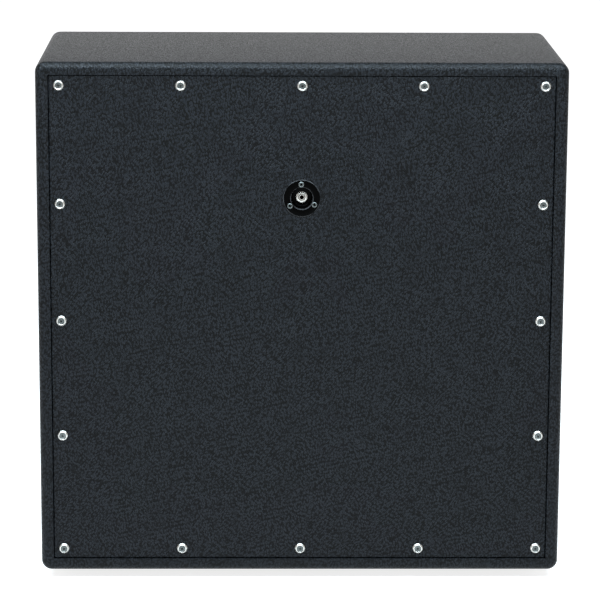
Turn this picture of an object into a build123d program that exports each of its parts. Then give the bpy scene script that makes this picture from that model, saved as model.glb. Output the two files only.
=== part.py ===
# A straight-fronted guitar speaker cabinet that holds four twelve-inch drivers.
# All sizes are in millimetres. X runs to the right as seen from the front, Y from the front
# to the back and Z upwards. The origin lies on the floor under the middle of the cabinet.
import os
from math import cos, pi, radians, sin, tan

from build123d import *

# Case: four plywood walls, joined by fingers, under a vinyl covering
case_width = 770.0
case_height = 762.0
case_depth = 365.0
wall = 17.0
cover = 0.8
long_edge_radius = 15.0
rim_radius = 10.0
finger_count = 13

# Rubber feet under the case
foot_height = 15.0
foot_radius = 19.0
foot_taper = 2.5
foot_inset_side = 80.0
foot_inset_depth = 75.0
foot_edge_radius = 2.0
foot_well_radius = 8.0
foot_well_depth = 9.0
foot_screw_length = 20.0
foot_screw_head = 3.0

# Back panel, let into the back rim and screwed on to cleats
panel_ply = 15.0
panel_recess = 2.5
panel_gap = 0.6
panel_edge_radius = 1.0
panel_screw_inset = 14.6
panel_screws_per_side = 5
panel_screw_length = 30.0
back_cleat_width = 28.0
back_cleat_depth = 22.0

# Cup washers and the screws in them
cup_radius = 7.8
cup_height = 2.3
cup_lip = 0.4
cup_bulge = 0.3
cup_crown_radius = 5.7
cup_mouth_radius = 4.7
cup_hole_radius = 2.5
screw_shank_radius = 2.1
screw_head_dome = 0.15
driver_slot_length = 4.6
driver_slot_width = 0.9
driver_slot_depth = 1.3
driver_turn_step = 37.0
pan_head_edge = 0.45

# Jack dish in the back panel
jack_height = 564.0
dish_radius = 27.5
dish_flange = 1.6
dish_edge_bevel = 0.9
dish_mouth_radius = 16.5
dish_floor_radius = 13.5
dish_depth = 14.0
dish_skin = 1.5
dish_screw_circle = 41.0
dish_screw_count = 3
dish_turn = 2.7
dish_screw_radius = 3.9
dish_screw_shank = 1.5
dish_screw_height = 0.8
dish_screw_length = 12.0

# Quarter-inch jack in the dish
plug_bore_radius = 3.25
bushing_radius = 4.7
bushing_proud = 1.6
bushing_bevel = 0.6
nut_across_flats = 13.5
nut_thickness = 2.5
nut_bevel = 0.4
jack_washer_radius = 8.2
jack_washer_thickness = 0.8
jack_plate_size = 16.0
jack_strap_thickness = 1.6
jack_strap_length = 14.0
jack_block_width = 11.0
jack_block_length = 10.0
jack_block_height = 6.0
contact_width = 6.0
contact_thickness = 0.5
contact_reach = 15.0
contact_catch = 4.0
contact_drop = 1.8
jack_lug_length = 9.0
jack_lug_width = 4.0
jack_lug_inset = 2.0

# Front: grille cloth on a frame, piping round it, baffle behind
grille_depth = 22.0
cloth_recess = 6.0
cloth = 0.8
cloth_turn_in = 22.0
rail_width = 35.0
rail_depth = 12.0
piping_radius = 2.4
piping_play = 0.1
piping_proud = 1.0
piping_tail = 0.8
grille_pad_length = 50.0
grille_pad_width = 20.0
grille_pad_spread = 0.72
baffle = 18.0
front_cleat = 20.0
baffle_screws_per_side = 4
baffle_screw_length = 30.0
baffle_screw_head = 4.2

# Post between the baffle and the back panel
post = 45.0

# Side handles
handle_length = 200.0
handle_width = 126.0
handle_flange = 2.5
handle_flange_radius = 1.5
handle_corner = 20.0
pocket_length = 172.0
pocket_width = 98.0
pocket_depth = 45.0
pocket_skin = 3.0
pocket_corner = 16.0
pocket_floor_radius = 6.0
pocket_draft = 6.0
handle_rise = 25.0
grip_thickness = 19.0
grip_width = 25.0
grip_corner = 8.5
grip_rise = 18.0
grip_end_radius = 2.0
rod_radius = 5.0
rod_bevel = 0.6
handle_screw_inset_length = 8.0
handle_screw_inset_width = 8.0
handle_screw_length = 16.0
handle_screw_head = 3.6

# Twelve-inch driver. Depths are behind the front face of its steel flange.
driver_gap = 27.0
driver_hole_radius = 141.5
driver_flange_radius = 154.5
driver_flange = 1.6
driver_skin = 1.6
gasket = 2.0
gasket_inner_radius = 143.0
rim_paper = 0.6
rim_inset = 1.0
shoulder_radius = 136.0
shoulder_depth = 14.0
landing_outer_radius = 92.0
landing_inner_radius = 72.0
landing_depth = 62.0
neck_radius = 56.0
neck_depth = 90.0
neck_floor_radius = 28.0
basket_windows = 8
window_width = 44.0
bolt_circle = 297.0
bolt_radius = 2.5
bolt_head_radius = 4.6
bolt_head_height = 3.8
tee_flange_radius = 9.5
tee_flange = 1.4
tee_barrel_radius = 3.5
tee_barrel_length = 11.0
top_plate_radius = 60.0
top_plate = 8.0
top_plate_bore = 23.7
magnet_radius = 78.0
magnet_bore = 40.0
magnet = 20.0
magnet_bevel = 1.5
back_plate_radius = 60.0
back_plate = 8.0
pole_radius = 21.2
coil_inner_radius = 21.9
coil_former = 0.4
coil_winding = 0.7
coil_length = 14.0
coil_neck_depth = 56.0
cone_edge_radius = 124.0
cone_edge_depth = 6.0
cone_paper = 0.8
dust_cap_radius = 38.0
dust_cap_rise = 13.0
surround_waves = 2
surround_wave_height = 2.4
spider_waves = 5
spider_wave_height = 1.8
spider_cloth = 0.6
terminal_length = 36.0
terminal_width = 15.0
terminal_board = 2.0
terminal_lug_length = 11.0
terminal_lug_width = 5.0
lug_plate = 0.8

# Wiring inside the cabinet
lead_radius = 1.8
lead_arc_share = 0.45
clip_width = 6.0
clip_wall = 1.0
clip_play = 0.3
clips_per_lead = 2
clip_inset = 75.0
clip_pitch = 70.0

# Play between parts that are made to fit
fit = 0.1
pocket_play = 1.0
baffle_play = 0.5
notch_play = 2.0
cone_play = 0.05

# Places that follow from the sizes above
front = -case_depth / 2
back = case_depth / 2
centre_height = foot_height + case_height / 2
inner_width = case_width - 2 * (cover + wall)
inner_height = case_height - 2 * (cover + wall)
panel_face = back - panel_recess
panel_inside = panel_face - cover - panel_ply
panel_width = inner_width - 2 * (cover + panel_gap)
panel_height = inner_height - 2 * (cover + panel_gap)
panel_screw_x = panel_width / 2 - panel_screw_inset
panel_screw_z = panel_height / 2 - panel_screw_inset
baffle_front = front + grille_depth
baffle_back = baffle_front + baffle
cloth_face = front + cloth_recess
rail_front = cloth_face + cloth
rail_back = rail_front + rail_depth
grille_gap = 2 * (piping_radius + piping_play)
grille_width = inner_width - 2 * (cover + grille_gap)
grille_height = inner_height - 2 * (cover + grille_gap)
jack_z = foot_height + jack_height
handle_z = centre_height + handle_rise
flange_front = baffle_back + gasket + rim_paper
side_face = case_width / 2


# Basic shapes
def block(x, y, z):
    """A box between two limits on each axis."""
    size = (x[1] - x[0], y[1] - y[0], z[1] - z[0])
    middle = ((x[0] + x[1]) / 2, (y[0] + y[1]) / 2, (z[0] + z[1]) / 2)
    return Pos(*middle) * Box(*size)


def bar_y(radius, start, end, x=0.0, z=0.0):
    """A round bar along Y between two places."""
    return Pos(x, (start + end) / 2, z) * Rot(90, 0, 0) * Cylinder(radius, end - start)


def turned(*outline):
    """A ring or disc about the Y axis, from its (radius, y) outline."""
    return revolve(make_face(Polyline(*outline, close=True)), Axis.Y)


def dome_arc(radius, apex, rim):
    """The arc of a ball from its apex on the Y axis to its rim."""
    rise = rim - apex
    ball = (radius ** 2 + rise ** 2) / (2 * rise)
    drop = ball * (1 - (1 - (radius / 2 / ball) ** 2) ** 0.5)
    return ThreePointArc((0, apex), (radius / 2, apex + drop), (radius, rim))


def waved_disc(inner, outer, start, end, waves, height, thickness):
    """A thin disc about Y with round waves between two radii, as pressed cloth or paper has."""
    steps = waves * 4

    def line(offset):
        points = []
        for i in range(steps + 1):
            share = i / steps
            ripple = height * sin(2 * pi * waves * share)
            points.append((inner + (outer - inner) * share, start + (end - start) * share + ripple + offset))
        return points

    low, high = line(0.0), line(thickness)
    outline = Spline(*low) + Line(low[-1], high[-1]) + Spline(*reversed(high)) + Line(high[0], low[0])
    return revolve(make_face(outline), Axis.Y)


def driver_cross(turn):
    """The cross that a screwdriver fits, cut down from y = 0."""
    depth = (-driver_slot_depth, driver_slot_depth)
    half, thin = driver_slot_length / 2, driver_slot_width / 2
    cross = block((-half, half), depth, (-thin, thin)) + block((-thin, thin), depth, (-half, half))
    return Rot(0, turn, 0) * cross


def countersunk_screw(head_radius, shank_radius, length, turn=0.0, dome=0.0):
    """A countersunk wood screw that points to -Y, with the rim of its head at y = 0."""
    cone = head_radius - shank_radius
    neck, point = (shank_radius, -cone), (shank_radius, 2 * shank_radius - length)
    sides = Polyline((head_radius, 0), neck, point, (0, -length), (0, dome))
    top = dome_arc(head_radius, dome, 0) if dome > 0 else Line((0, 0), (head_radius, 0))
    return revolve(make_face(top + sides), Axis.Y) - Pos(0, dome, 0) * driver_cross(turn)


def pan_screw(head_radius, head_height, shank_radius, length, turn=0.0):
    """A pan-headed screw that points to -Y, with the seat of its head at y = 0."""
    head = bar_y(head_radius, 0, head_height)
    head = fillet(head.edges().group_by(Axis.Y)[-1], head_height * pan_head_edge)
    shank = turned((0, 0), (shank_radius, 0), (shank_radius, -length + 2 * shank_radius), (0, -length))
    return head + shank - Pos(0, head_height, 0) * driver_cross(turn)


def tube_along(points, radius):
    """A round lead along straight runs joined by the widest arcs that the runs allow."""
    radii = []
    for before, here, after in zip(points, points[1:], points[2:]):
        into = Vector(*here) - Vector(*before)
        out = Vector(*after) - Vector(*here)
        half_turn = radians(into.get_angle(out)) / 2
        radii.append(lead_arc_share * min(into.length, out.length) / tan(half_turn))
    path = FilletPolyline(*points, radius=radii)
    lead = sweep((path ^ 0) * Circle(radius), path=path)
    share = lead.volume / (pi * radius ** 2 * path.length)
    print(f"lead {path.length:.0f} mm long, volume {share:.3f} of its section times its length")
    print("its arcs have radii of", ", ".join(f"{arc:.1f}" for arc in radii))
    return lead


# Case
def rounded_case(inset):
    """The whole outside of the case, drawn in by an inset on every side."""
    body = Box(case_width - 2 * inset, case_depth - 2 * inset, case_height - 2 * inset)
    body = fillet(body.edges().filter_by(Axis.Y), long_edge_radius - inset)
    body = fillet(body.faces().filter_by(Axis.Y).edges(), rim_radius - inset)
    return Pos(0, 0, centre_height) * body


def case_bore(width, height, start=front, end=back):
    """A straight block through the middle of the case."""
    bottom, top = centre_height - height / 2, centre_height + height / 2
    return block((-width / 2, width / 2), (start, end), (bottom, top))


def finger_slices(parity):
    """The Y limits of every second finger, from the front rim to the back rim."""
    pitch = case_depth / finger_count
    return [(front + i * pitch, front + (i + 1) * pitch) for i in range(finger_count) if i % 2 == parity]


def case_walls():
    """Top, bottom and side walls, which interlock in the case's four long edges."""
    ring = rounded_case(cover) - case_bore(inner_width, inner_height)
    half_w, half_h = case_width / 2, case_height / 2
    in_w, in_h = inner_width / 2, inner_height / 2
    walls = {}
    for name, z in (("top_wall", (in_h, half_h)), ("bottom_wall", (-half_h, -in_h))):
        reach = (centre_height + z[0], centre_height + z[1])
        region = block((-in_w, in_w), (front, back), reach)
        for y in finger_slices(0):
            region = region + block((-half_w, half_w), y, reach)
        walls[name] = ring & region
    for name, x in (("left_wall", (-half_w, -in_w)), ("right_wall", (in_w, half_w))):
        region = block(x, (front, back), (centre_height - in_h, centre_height + in_h))
        for y in finger_slices(1):
            region = region + block(x, y, (centre_height - half_h, centre_height + half_h))
        walls[name] = ring & region
    walls["bottom_wall"] = walls["bottom_wall"] - foot_pilots()
    for name, side in (("left_wall", -1), ("right_wall", 1)):
        walls[name] = walls[name] - handle_cutout(side) - handle_pilots(side)
    return walls


def case_covering():
    """Vinyl glued over the walls and turned in round both rims."""
    skin = rounded_case(0) - case_bore(inner_width - 2 * cover, inner_height - 2 * cover)
    skin = skin - (rounded_case(cover) - case_bore(inner_width, inner_height))
    skin = skin - case_bore(inner_width, inner_height, baffle_front, panel_inside)
    skin = skin - foot_pilots()
    for side in (-1, 1):
        skin = skin - handle_cutout(side) - handle_pilots(side)
    return skin


def rail_set(width, height, thickness, start, end):
    """Four straight rails in a rectangle, the upright ones between the level ones."""
    half_w, half_h = width / 2, height / 2
    between = (centre_height - half_h + thickness, centre_height + half_h - thickness)
    rails = []
    for side in (-1, 1):
        level = sorted((side * (half_h - thickness), side * half_h))
        rails.append(block((-half_w, half_w), (start, end), [centre_height + z for z in level]))
        upright = sorted((side * (half_w - thickness), side * half_w))
        rails.append(block(upright, (start, end), between))
    return rails


# Feet
def foot_spots():
    """The middles of the four feet on the floor."""
    x = case_width / 2 - foot_inset_side
    y = case_depth / 2 - foot_inset_depth
    return [(sx * x, sy * y) for sx in (-1, 1) for sy in (-1, 1)]


def foot_screw():
    """A screw that points up into the bottom wall, its head in the foot's well."""
    head_radius = foot_well_radius - 3 * fit
    screw = pan_screw(head_radius, foot_screw_head, screw_shank_radius, foot_screw_length)
    return Pos(0, 0, foot_well_depth) * Rot(-90, 0, 0) * screw


def foot_pilots():
    """Holes in the bottom wall and its covering for the foot screws."""
    top = foot_well_depth + foot_screw_length
    drill = Pos(0, 0, (foot_well_depth + top) / 2) * Cylinder(screw_shank_radius + fit, top - foot_well_depth)
    return [Pos(x, y, 0) * drill for x, y in foot_spots()]


def rubber_foot():
    """One tapered foot with a stepped hole for its screw."""
    foot = Cone(foot_radius - foot_taper, foot_radius, foot_height)
    foot = fillet(foot.edges().group_by(Axis.Z)[0], foot_edge_radius)
    foot = Pos(0, 0, foot_height / 2) * foot
    well = Pos(0, 0, foot_well_depth / 2) * Cylinder(foot_well_radius, foot_well_depth)
    hole = Pos(0, 0, foot_height / 2) * Cylinder(screw_shank_radius + fit, foot_height)
    return foot - well - hole


# Back panel
def panel_screw_spots():
    """Places of the panel's screws, evenly along all four edges."""
    last = panel_screws_per_side - 1
    spots = []
    for i in range(panel_screws_per_side):
        for j in range(panel_screws_per_side):
            if i in (0, last) or j in (0, last):
                x = panel_screw_x * (2 * i / last - 1)
                z = centre_height + panel_screw_z * (2 * j / last - 1)
                spots.append((x, z))
    return spots


def panel_holes():
    """Everything that is drilled through the back panel and its covering."""
    holes = [bar_y(cup_hole_radius, panel_inside, back, x, z) for x, z in panel_screw_spots()]
    holes.append(bar_y(dish_mouth_radius + dish_skin + pocket_play, panel_inside, back, 0, jack_z))
    for x, z in dish_screw_spots():
        holes.append(bar_y(dish_screw_shank + fit, panel_face - dish_screw_length, back, x, z))
    return holes


def back_panel():
    """The plywood of the back panel."""
    board = case_bore(panel_width - 2 * cover, panel_height - 2 * cover, panel_inside, panel_face - cover)
    board = fillet(board.faces().sort_by(Axis.Y)[-1].edges(), panel_edge_radius)
    return board - panel_holes()


def back_panel_covering():
    """Vinyl over the panel's outer face and its four edges."""
    skin = case_bore(panel_width, panel_height, panel_inside, panel_face)
    skin = fillet(skin.faces().sort_by(Axis.Y)[-1].edges(), panel_edge_radius + cover)
    board = case_bore(panel_width - 2 * cover, panel_height - 2 * cover, panel_inside, panel_face - cover)
    board = fillet(board.faces().sort_by(Axis.Y)[-1].edges(), panel_edge_radius)
    return skin - board - panel_holes()


def cup_washer():
    """A pressed washer that stands on y = 0 and takes a countersunk head."""
    hole_depth = cup_height - (cup_mouth_radius - cup_hole_radius)
    rim, crown = (cup_radius, cup_lip), (cup_crown_radius, cup_height)
    shoulder = ((cup_radius + cup_crown_radius) / 2 + cup_bulge, (cup_lip + cup_height) / 2 + cup_bulge)
    inside = Polyline(
        crown, (cup_mouth_radius, cup_height), (cup_hole_radius, hole_depth), (cup_hole_radius, 0),
        (cup_radius, 0), rim,
    )
    return revolve(make_face(inside + ThreePointArc(rim, shoulder, crown)), Axis.Y)


def panel_screw(turn):
    """A screw whose head lies in a cup washer that stands on y = 0."""
    head = cup_mouth_radius - fit
    screw = countersunk_screw(head, screw_shank_radius, panel_screw_length, turn, screw_head_dome)
    return Pos(0, cup_height, 0) * screw


# Jack
def dish_screw_spots():
    """Places of the screws in the dish's flange, one of them at the top but for the dish's small turn."""
    spots = []
    for i in range(dish_screw_count):
        angle = radians(90 - dish_turn + 360 * i / dish_screw_count)
        spots.append((dish_screw_circle / 2 * cos(angle), jack_z + dish_screw_circle / 2 * sin(angle)))
    return spots


def jack_dish():
    """The round dish that sinks the jack into the back panel."""
    face, floor = dish_flange, dish_flange - dish_depth
    dish = turned(
        (bushing_radius + fit, floor - dish_skin), (dish_floor_radius + dish_skin, floor - dish_skin),
        (dish_mouth_radius + dish_skin, 0), (dish_radius, 0), (dish_radius, face - dish_edge_bevel),
        (dish_radius - dish_edge_bevel, face), (dish_mouth_radius, face), (dish_floor_radius, floor),
        (bushing_radius + fit, floor),
    )
    dish = Pos(0, panel_face, jack_z) * dish
    return dish - [bar_y(dish_screw_shank + fit, panel_face, back, x, z) for x, z in dish_screw_spots()]


def jack_parts():
    """The jack's own pieces. Depths run back from the dish's floor into the cabinet."""
    floor = panel_face + dish_flange - dish_depth
    seat = floor - dish_skin
    nut_front = floor + jack_washer_thickness + nut_thickness
    plate_back = seat - jack_strap_thickness
    half = jack_plate_size / 2
    bore = bar_y(plug_bore_radius, plate_back, nut_front + bushing_proud, 0, jack_z)
    bushing = bar_y(bushing_radius, seat, nut_front + bushing_proud, 0, jack_z)
    bushing = chamfer(bushing.edges().group_by(Axis.Y)[-1], bushing_bevel)
    plate = block((-half, half), (plate_back, seat), (jack_z - half, jack_z + half))
    strap_low = jack_z - half
    strap_high = strap_low + jack_strap_thickness
    strap_end = plate_back - jack_strap_length
    strap = block((-contact_width, contact_width), (strap_end, plate_back), (strap_low, strap_high))
    washer = bar_y(jack_washer_radius, floor, floor + jack_washer_thickness, 0, jack_z)
    washer = washer - bar_y(bushing_radius + fit, floor, nut_front, 0, jack_z)
    nut_blank = extrude(Plane.XZ * RegularPolygon(nut_across_flats / 2, 6, major_radius=False), nut_thickness)
    nut = Pos(0, nut_front, jack_z) * nut_blank
    nut = chamfer(nut.edges().group_by(Axis.Y)[-1], nut_bevel)
    nut = nut - bar_y(bushing_radius + fit, floor, nut_front, 0, jack_z)

    half_block = jack_block_width / 2
    half_leaf = contact_thickness / 2
    block_end = strap_end - fit - half_leaf
    stack = block(
        (-half_block, half_block), (strap_end, strap_end + jack_block_length),
        (strap_low - jack_block_height, strap_low),
    )
    leaf_z = strap_low - jack_block_height / 2
    leaf_end = block_end - contact_reach
    catch_z = jack_z - contact_drop
    leaf = Polyline(
        (block_end, leaf_z), (leaf_end + contact_catch, leaf_z), (leaf_end, catch_z - half_leaf),
        (leaf_end - contact_catch / 2, catch_z - contact_catch / 2),
    )
    leaf_face = make_face(offset(leaf, half_leaf, kind=Kind.INTERSECTION, side=Side.BOTH))
    contact = Plane.YZ * extrude(leaf_face, contact_width / 2, both=True)
    lug_z = (leaf_z - half_leaf, leaf_z + half_leaf)
    lug_end_y = strap_end + jack_block_length - jack_lug_inset
    lug_y = (lug_end_y - jack_lug_width, lug_end_y)
    tip_lug = block((half_block, half_block + jack_lug_length), lug_y, lug_z)
    sleeve_x = (-contact_width - jack_lug_length, -contact_width)
    sleeve_lug = block(sleeve_x, (strap_end, strap_end + jack_lug_width), (strap_low, strap_low + lug_plate))
    return {
        "jack_frame": plate + strap + bushing + sleeve_lug - bore,
        "jack_washer": washer,
        "jack_nut": nut,
        "jack_insulator": stack,
        "jack_tip_contact": contact,
        "jack_tip_lug": tip_lug,
    }


# Front
def driver_spots():
    """Middles of the four drivers, seen from the front: top left, top right, bottom left, bottom right."""
    half = driver_flange_radius + driver_gap / 2
    return [(sx * half, centre_height + sz * half) for sz in (1, -1) for sx in (-1, 1)]


def bolt_spots():
    """Places of the four bolts round every driver."""
    reach = bolt_circle / 2 * cos(radians(45))
    return [(x + sx * reach, z + sz * reach) for x, z in driver_spots() for sx in (-1, 1) for sz in (-1, 1)]


def baffle_screw_spots():
    """Places of the screws that hold the baffle to its cleats, and of two into the post."""
    x = inner_width / 2 - front_cleat / 2
    z = inner_height / 2 - front_cleat / 2
    spots = []
    for i in range(baffle_screws_per_side):
        share = 2 * (i + 0.5) / baffle_screws_per_side - 1
        for side in (-1, 1):
            spots.append((share * x, centre_height + side * z))
            spots.append((side * x, centre_height + share * z))
    return spots + [(0.0, centre_height + side * post / 4) for side in (-1, 1)]


def baffle_screw(turn):
    """A countersunk screw driven from the front, its head level with the baffle."""
    screw = countersunk_screw(baffle_screw_head, screw_shank_radius, baffle_screw_length, turn)
    return Rot(0, 0, 180) * screw


def baffle_board():
    """The board that carries the drivers."""
    width, height = inner_width - 2 * baffle_play, inner_height - 2 * baffle_play
    board = case_bore(width, height, baffle_front, baffle_back)
    for x, z in driver_spots():
        board = board - bar_y(driver_hole_radius, baffle_front, baffle_back, x, z)
    drills = []
    for x, z in bolt_spots():
        drills.append(bar_y(tee_barrel_radius + fit, baffle_front, baffle_front + tee_barrel_length, x, z))
        drills.append(bar_y(bolt_radius + fit, baffle_front, baffle_back, x, z))
    hole = screw_shank_radius + fit
    sink_depth = baffle_screw_head - screw_shank_radius
    sink = turned((0, 0), (baffle_screw_head + fit, 0), (hole, sink_depth), (hole, baffle), (0, baffle))
    drills += [Pos(x, baffle_front, z) * sink for x, z in baffle_screw_spots()]
    return board - drills


def drilled_rails(rails, spots, start, end):
    """Rails with a pilot hole at every screw that meets them."""
    drills = [bar_y(screw_shank_radius + fit, start, end, x, z) for x, z in spots]
    return [rail - drills for rail in rails]


def front_cleats():
    """Rails behind the baffle, notched where a driver's flange would meet them."""
    rails = rail_set(inner_width, inner_height, front_cleat, baffle_back, baffle_back + front_cleat)
    rails = drilled_rails(rails, baffle_screw_spots(), baffle_back, baffle_front + baffle_screw_length)
    reach = driver_flange_radius + notch_play
    notches = [bar_y(reach, baffle_back, baffle_back + front_cleat, x, z) for x, z in driver_spots()]
    return [rail - notches for rail in rails]


def grille_cloth():
    """Cloth stretched over the grille frame and turned in behind it."""
    outer = case_bore(grille_width, grille_height, cloth_face, rail_back + cloth)
    outer = fillet(outer.edges().filter_by(Axis.Y) + outer.faces().sort_by(Axis.Y)[0].edges(), 2 * cloth)
    inner = case_bore(grille_width - 2 * cloth, grille_height - 2 * cloth, rail_front, rail_back)
    width, height = grille_width - 2 * cloth_turn_in, grille_height - 2 * cloth_turn_in
    return outer - inner - case_bore(width, height, rail_front, rail_back + cloth)


def grille_pads():
    """Hook-and-loop pads that hold the grille frame to the baffle."""
    x = grille_width / 2 - cloth_turn_in + grille_pad_width / 2
    z = grille_height / 2 - cloth_turn_in + grille_pad_width / 2
    long, short = grille_pad_length / 2, grille_pad_width / 2
    y = (rail_back + cloth, baffle_front)
    pads = []
    for side in (-1, 1):
        for share in (-0.5, 0.5):
            level = share * grille_pad_spread * grille_width
            top = centre_height + side * z
            pads.append(block((level - long, level + long), y, (top - short, top + short)))
            upright = centre_height + share * grille_pad_spread * grille_height
            pads.append(block((side * x - short, side * x + short), y, (upright - long, upright + long)))
    return pads


def piping():
    """Round piping that fills the gap between the grille and the case, with its flat tail behind it."""
    half_w = inner_width / 2 - cover - piping_play - piping_radius
    half_h = inner_height / 2 - cover - piping_play - piping_radius
    bead_y = cloth_face + piping_radius - piping_proud
    corner = 1.5 * piping_radius
    track = Plane.XZ * RectangleRounded(2 * half_w, 2 * half_h, corner)
    rail = Pos(0, bead_y, centre_height) * track.wire()
    bead = sweep((rail ^ 0) * Circle(piping_radius), path=rail)
    outer = RectangleRounded(2 * half_w + piping_tail, 2 * half_h + piping_tail, corner + piping_tail / 2)
    inner = RectangleRounded(2 * half_w - piping_tail, 2 * half_h - piping_tail, corner - piping_tail / 2)
    tail = extrude(Plane.XZ * (outer - inner), baffle_front - bead_y, dir=(0, 1, 0))
    return bead + Pos(0, bead_y, centre_height) * tail


# Handles
def pocket_shape(length, width, corner, depth):
    """A drafted pocket that points to -X from the plane x = 0."""
    outline = Plane.YZ * RectangleRounded(length, width, corner)
    return extrude(outline, -depth, taper=pocket_draft)


def on_side(shape, side):
    """A handle piece made for the right wall, or the same piece turned round for the left one."""
    turn = 0 if side > 0 else 180
    return Rot(0, 0, turn) * Pos(side_face, 0, handle_z) * shape


def handle_cutout(side):
    """The hole in the wall that the handle's pocket goes through."""
    outline = RectangleRounded(pocket_length + 2 * pocket_play, pocket_width + 2 * pocket_play, pocket_corner)
    hole = extrude(Plane.YZ * outline, 2 * (wall + cover), both=True)
    return on_side(hole, side)


def handle_screw_offsets():
    """Places of the four screws about the middle of a handle."""
    y = handle_length / 2 - handle_screw_inset_length
    z = handle_width / 2 - handle_screw_inset_width
    return [(sy * y, sz * z) for sy in (-1, 1) for sz in (-1, 1)]


def handle_pilots(side):
    """Pilot holes in a side wall for the handle's screws."""
    drill = Rot(0, 90, 0) * Cylinder(screw_shank_radius + fit, 2 * handle_screw_length)
    return [on_side(Pos(0, y, z) * drill, side) for y, z in handle_screw_offsets()]


def handle_dish(side):
    """Moulded dish with a flange on the wall's outer face and a pocket for the hand."""
    flange = extrude(Plane.YZ * RectangleRounded(handle_length, handle_width, handle_corner), handle_flange)
    flange = fillet(flange.faces().sort_by(Axis.X)[-1].edges(), handle_flange_radius)
    shell = Pos(handle_flange, 0, 0) * pocket_shape(pocket_length, pocket_width, pocket_corner, pocket_depth)
    room = pocket_shape(
        pocket_length - 2 * pocket_skin, pocket_width - 2 * pocket_skin,
        pocket_corner - pocket_skin, pocket_depth - pocket_skin,
    )
    room = fillet(room.faces().sort_by(Axis.X)[0].edges(), pocket_floor_radius)
    dish = flange + shell - Pos(handle_flange, 0, 0) * room
    rod_hole = Pos(rod_depth(), 0, grip_rise) * Rot(90, 0, 0) * Cylinder(rod_radius + fit, 2 * pocket_length)
    sink = handle_screw_head - screw_shank_radius
    sinks = []
    for y, z in handle_screw_offsets():
        bore = Rot(0, 0, -90) * turned(
            (0, handle_flange), (handle_screw_head + fit, handle_flange),
            (screw_shank_radius + fit, handle_flange - sink), (screw_shank_radius + fit, 0), (0, 0),
        )
        sinks.append(Pos(0, y, z) * bore)
    return on_side(dish - rod_hole - sinks, side)


def rod_depth():
    """Where the middle of the grip lies from the wall's face, so that its front is level with the flange."""
    return handle_flange - grip_thickness / 2


def handle_rod(side):
    """Steel rod through the grip and both ends of the pocket."""
    length = pocket_length + pocket_play
    rod = Rot(90, 0, 0) * Cylinder(rod_radius, length)
    rod = chamfer(rod.edges().filter_by(GeomType.CIRCLE), rod_bevel)
    return on_side(Pos(rod_depth(), 0, grip_rise) * rod, side)


def handle_grip(side):
    """Moulded grip on the rod."""
    mouth = pocket_length - 2 * pocket_skin
    length = mouth - 2 * grip_thickness * tan(radians(pocket_draft)) - 2 * fit
    section = Plane.XZ * RectangleRounded(grip_thickness, grip_width, grip_corner)
    grip = extrude(section, length / 2, both=True)
    grip = fillet(grip.faces().filter_by(Axis.Y).edges(), grip_end_radius)
    grip = grip - Rot(90, 0, 0) * Cylinder(rod_radius + fit, length)
    return on_side(Pos(rod_depth(), 0, grip_rise) * grip, side)


def handle_screws():
    """Eight countersunk screws in the two flanges."""
    screws = []
    for side in (-1, 1):
        for i, (y, z) in enumerate(handle_screw_offsets()):
            turn = driver_turn_step * (i + side)
            screw = countersunk_screw(handle_screw_head, screw_shank_radius, handle_screw_length, turn)
            screws.append(on_side(Pos(handle_flange, y, z) * Rot(0, 0, -90) * screw, side))
    return screws


# Driver. Each piece is made about the Y axis with the front face of the steel flange at y = 0.
def bolt_holes(start, end):
    """Clearance holes for the four bolts of one driver."""
    reach = bolt_circle / 2 * cos(radians(45))
    return [bar_y(bolt_radius + fit, start, end, sx * reach, sz * reach) for sx in (-1, 1) for sz in (-1, 1)]


def basket():
    """Pressed steel frame with windows in its sloping wall."""
    floor = neck_depth - driver_skin
    shelf = landing_depth + driver_skin
    frame = turned(
        (driver_flange_radius, 0), (driver_flange_radius, driver_flange), (driver_hole_radius, driver_flange),
        (shoulder_radius, shoulder_depth), (landing_outer_radius, shelf), (landing_inner_radius, shelf),
        (neck_radius + driver_skin, floor), (neck_radius + driver_skin, neck_depth),
        (neck_floor_radius, neck_depth), (neck_floor_radius, floor), (neck_radius, floor),
        (landing_inner_radius - driver_skin, landing_depth),
        (landing_outer_radius - driver_skin, landing_depth),
        (shoulder_radius - 2 * driver_skin, shoulder_depth), (driver_hole_radius - 2 * driver_skin, 0),
    )
    reach = (landing_outer_radius + driver_skin, shoulder_radius - driver_skin)
    window = block(reach, (0, landing_depth), (-window_width / 2, window_width / 2))
    window = window & block(reach, (shoulder_depth, landing_depth), (-window_width, window_width))
    windows = [Rot(0, 360 * (i + 0.5) / basket_windows, 0) * window for i in range(basket_windows)]
    return frame - windows - bolt_holes(0, driver_flange)


def motor_plate():
    """Steel plate round the gap, in front of the magnet."""
    return turned(
        (top_plate_bore, neck_depth), (top_plate_radius, neck_depth),
        (top_plate_radius, neck_depth + top_plate), (top_plate_bore, neck_depth + top_plate),
    )


def magnet_ring():
    """Ferrite ring with bevelled edges."""
    start = neck_depth + top_plate
    end = start + magnet
    ring = turned((magnet_bore, start), (magnet_radius, start), (magnet_radius, end), (magnet_bore, end))
    outer = ring.edges().filter_by(GeomType.CIRCLE).sort_by(SortBy.RADIUS)[-2:]
    return chamfer(outer, magnet_bevel)


def pole_piece():
    """Steel back plate with the pole that stands in the middle of the coil."""
    start = neck_depth + top_plate + magnet
    return turned(
        (0, neck_depth), (pole_radius, neck_depth), (pole_radius, start), (back_plate_radius, start),
        (back_plate_radius, start + back_plate), (0, start + back_plate),
    )


def cone_depth(radius):
    """How deep the cone's front surface lies at a radius."""
    coil_outer = coil_inner_radius + coil_former + cone_play
    share = (cone_edge_radius - radius) / (cone_edge_radius - coil_outer)
    return cone_edge_depth + share * (coil_neck_depth - cone_edge_depth)


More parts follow.
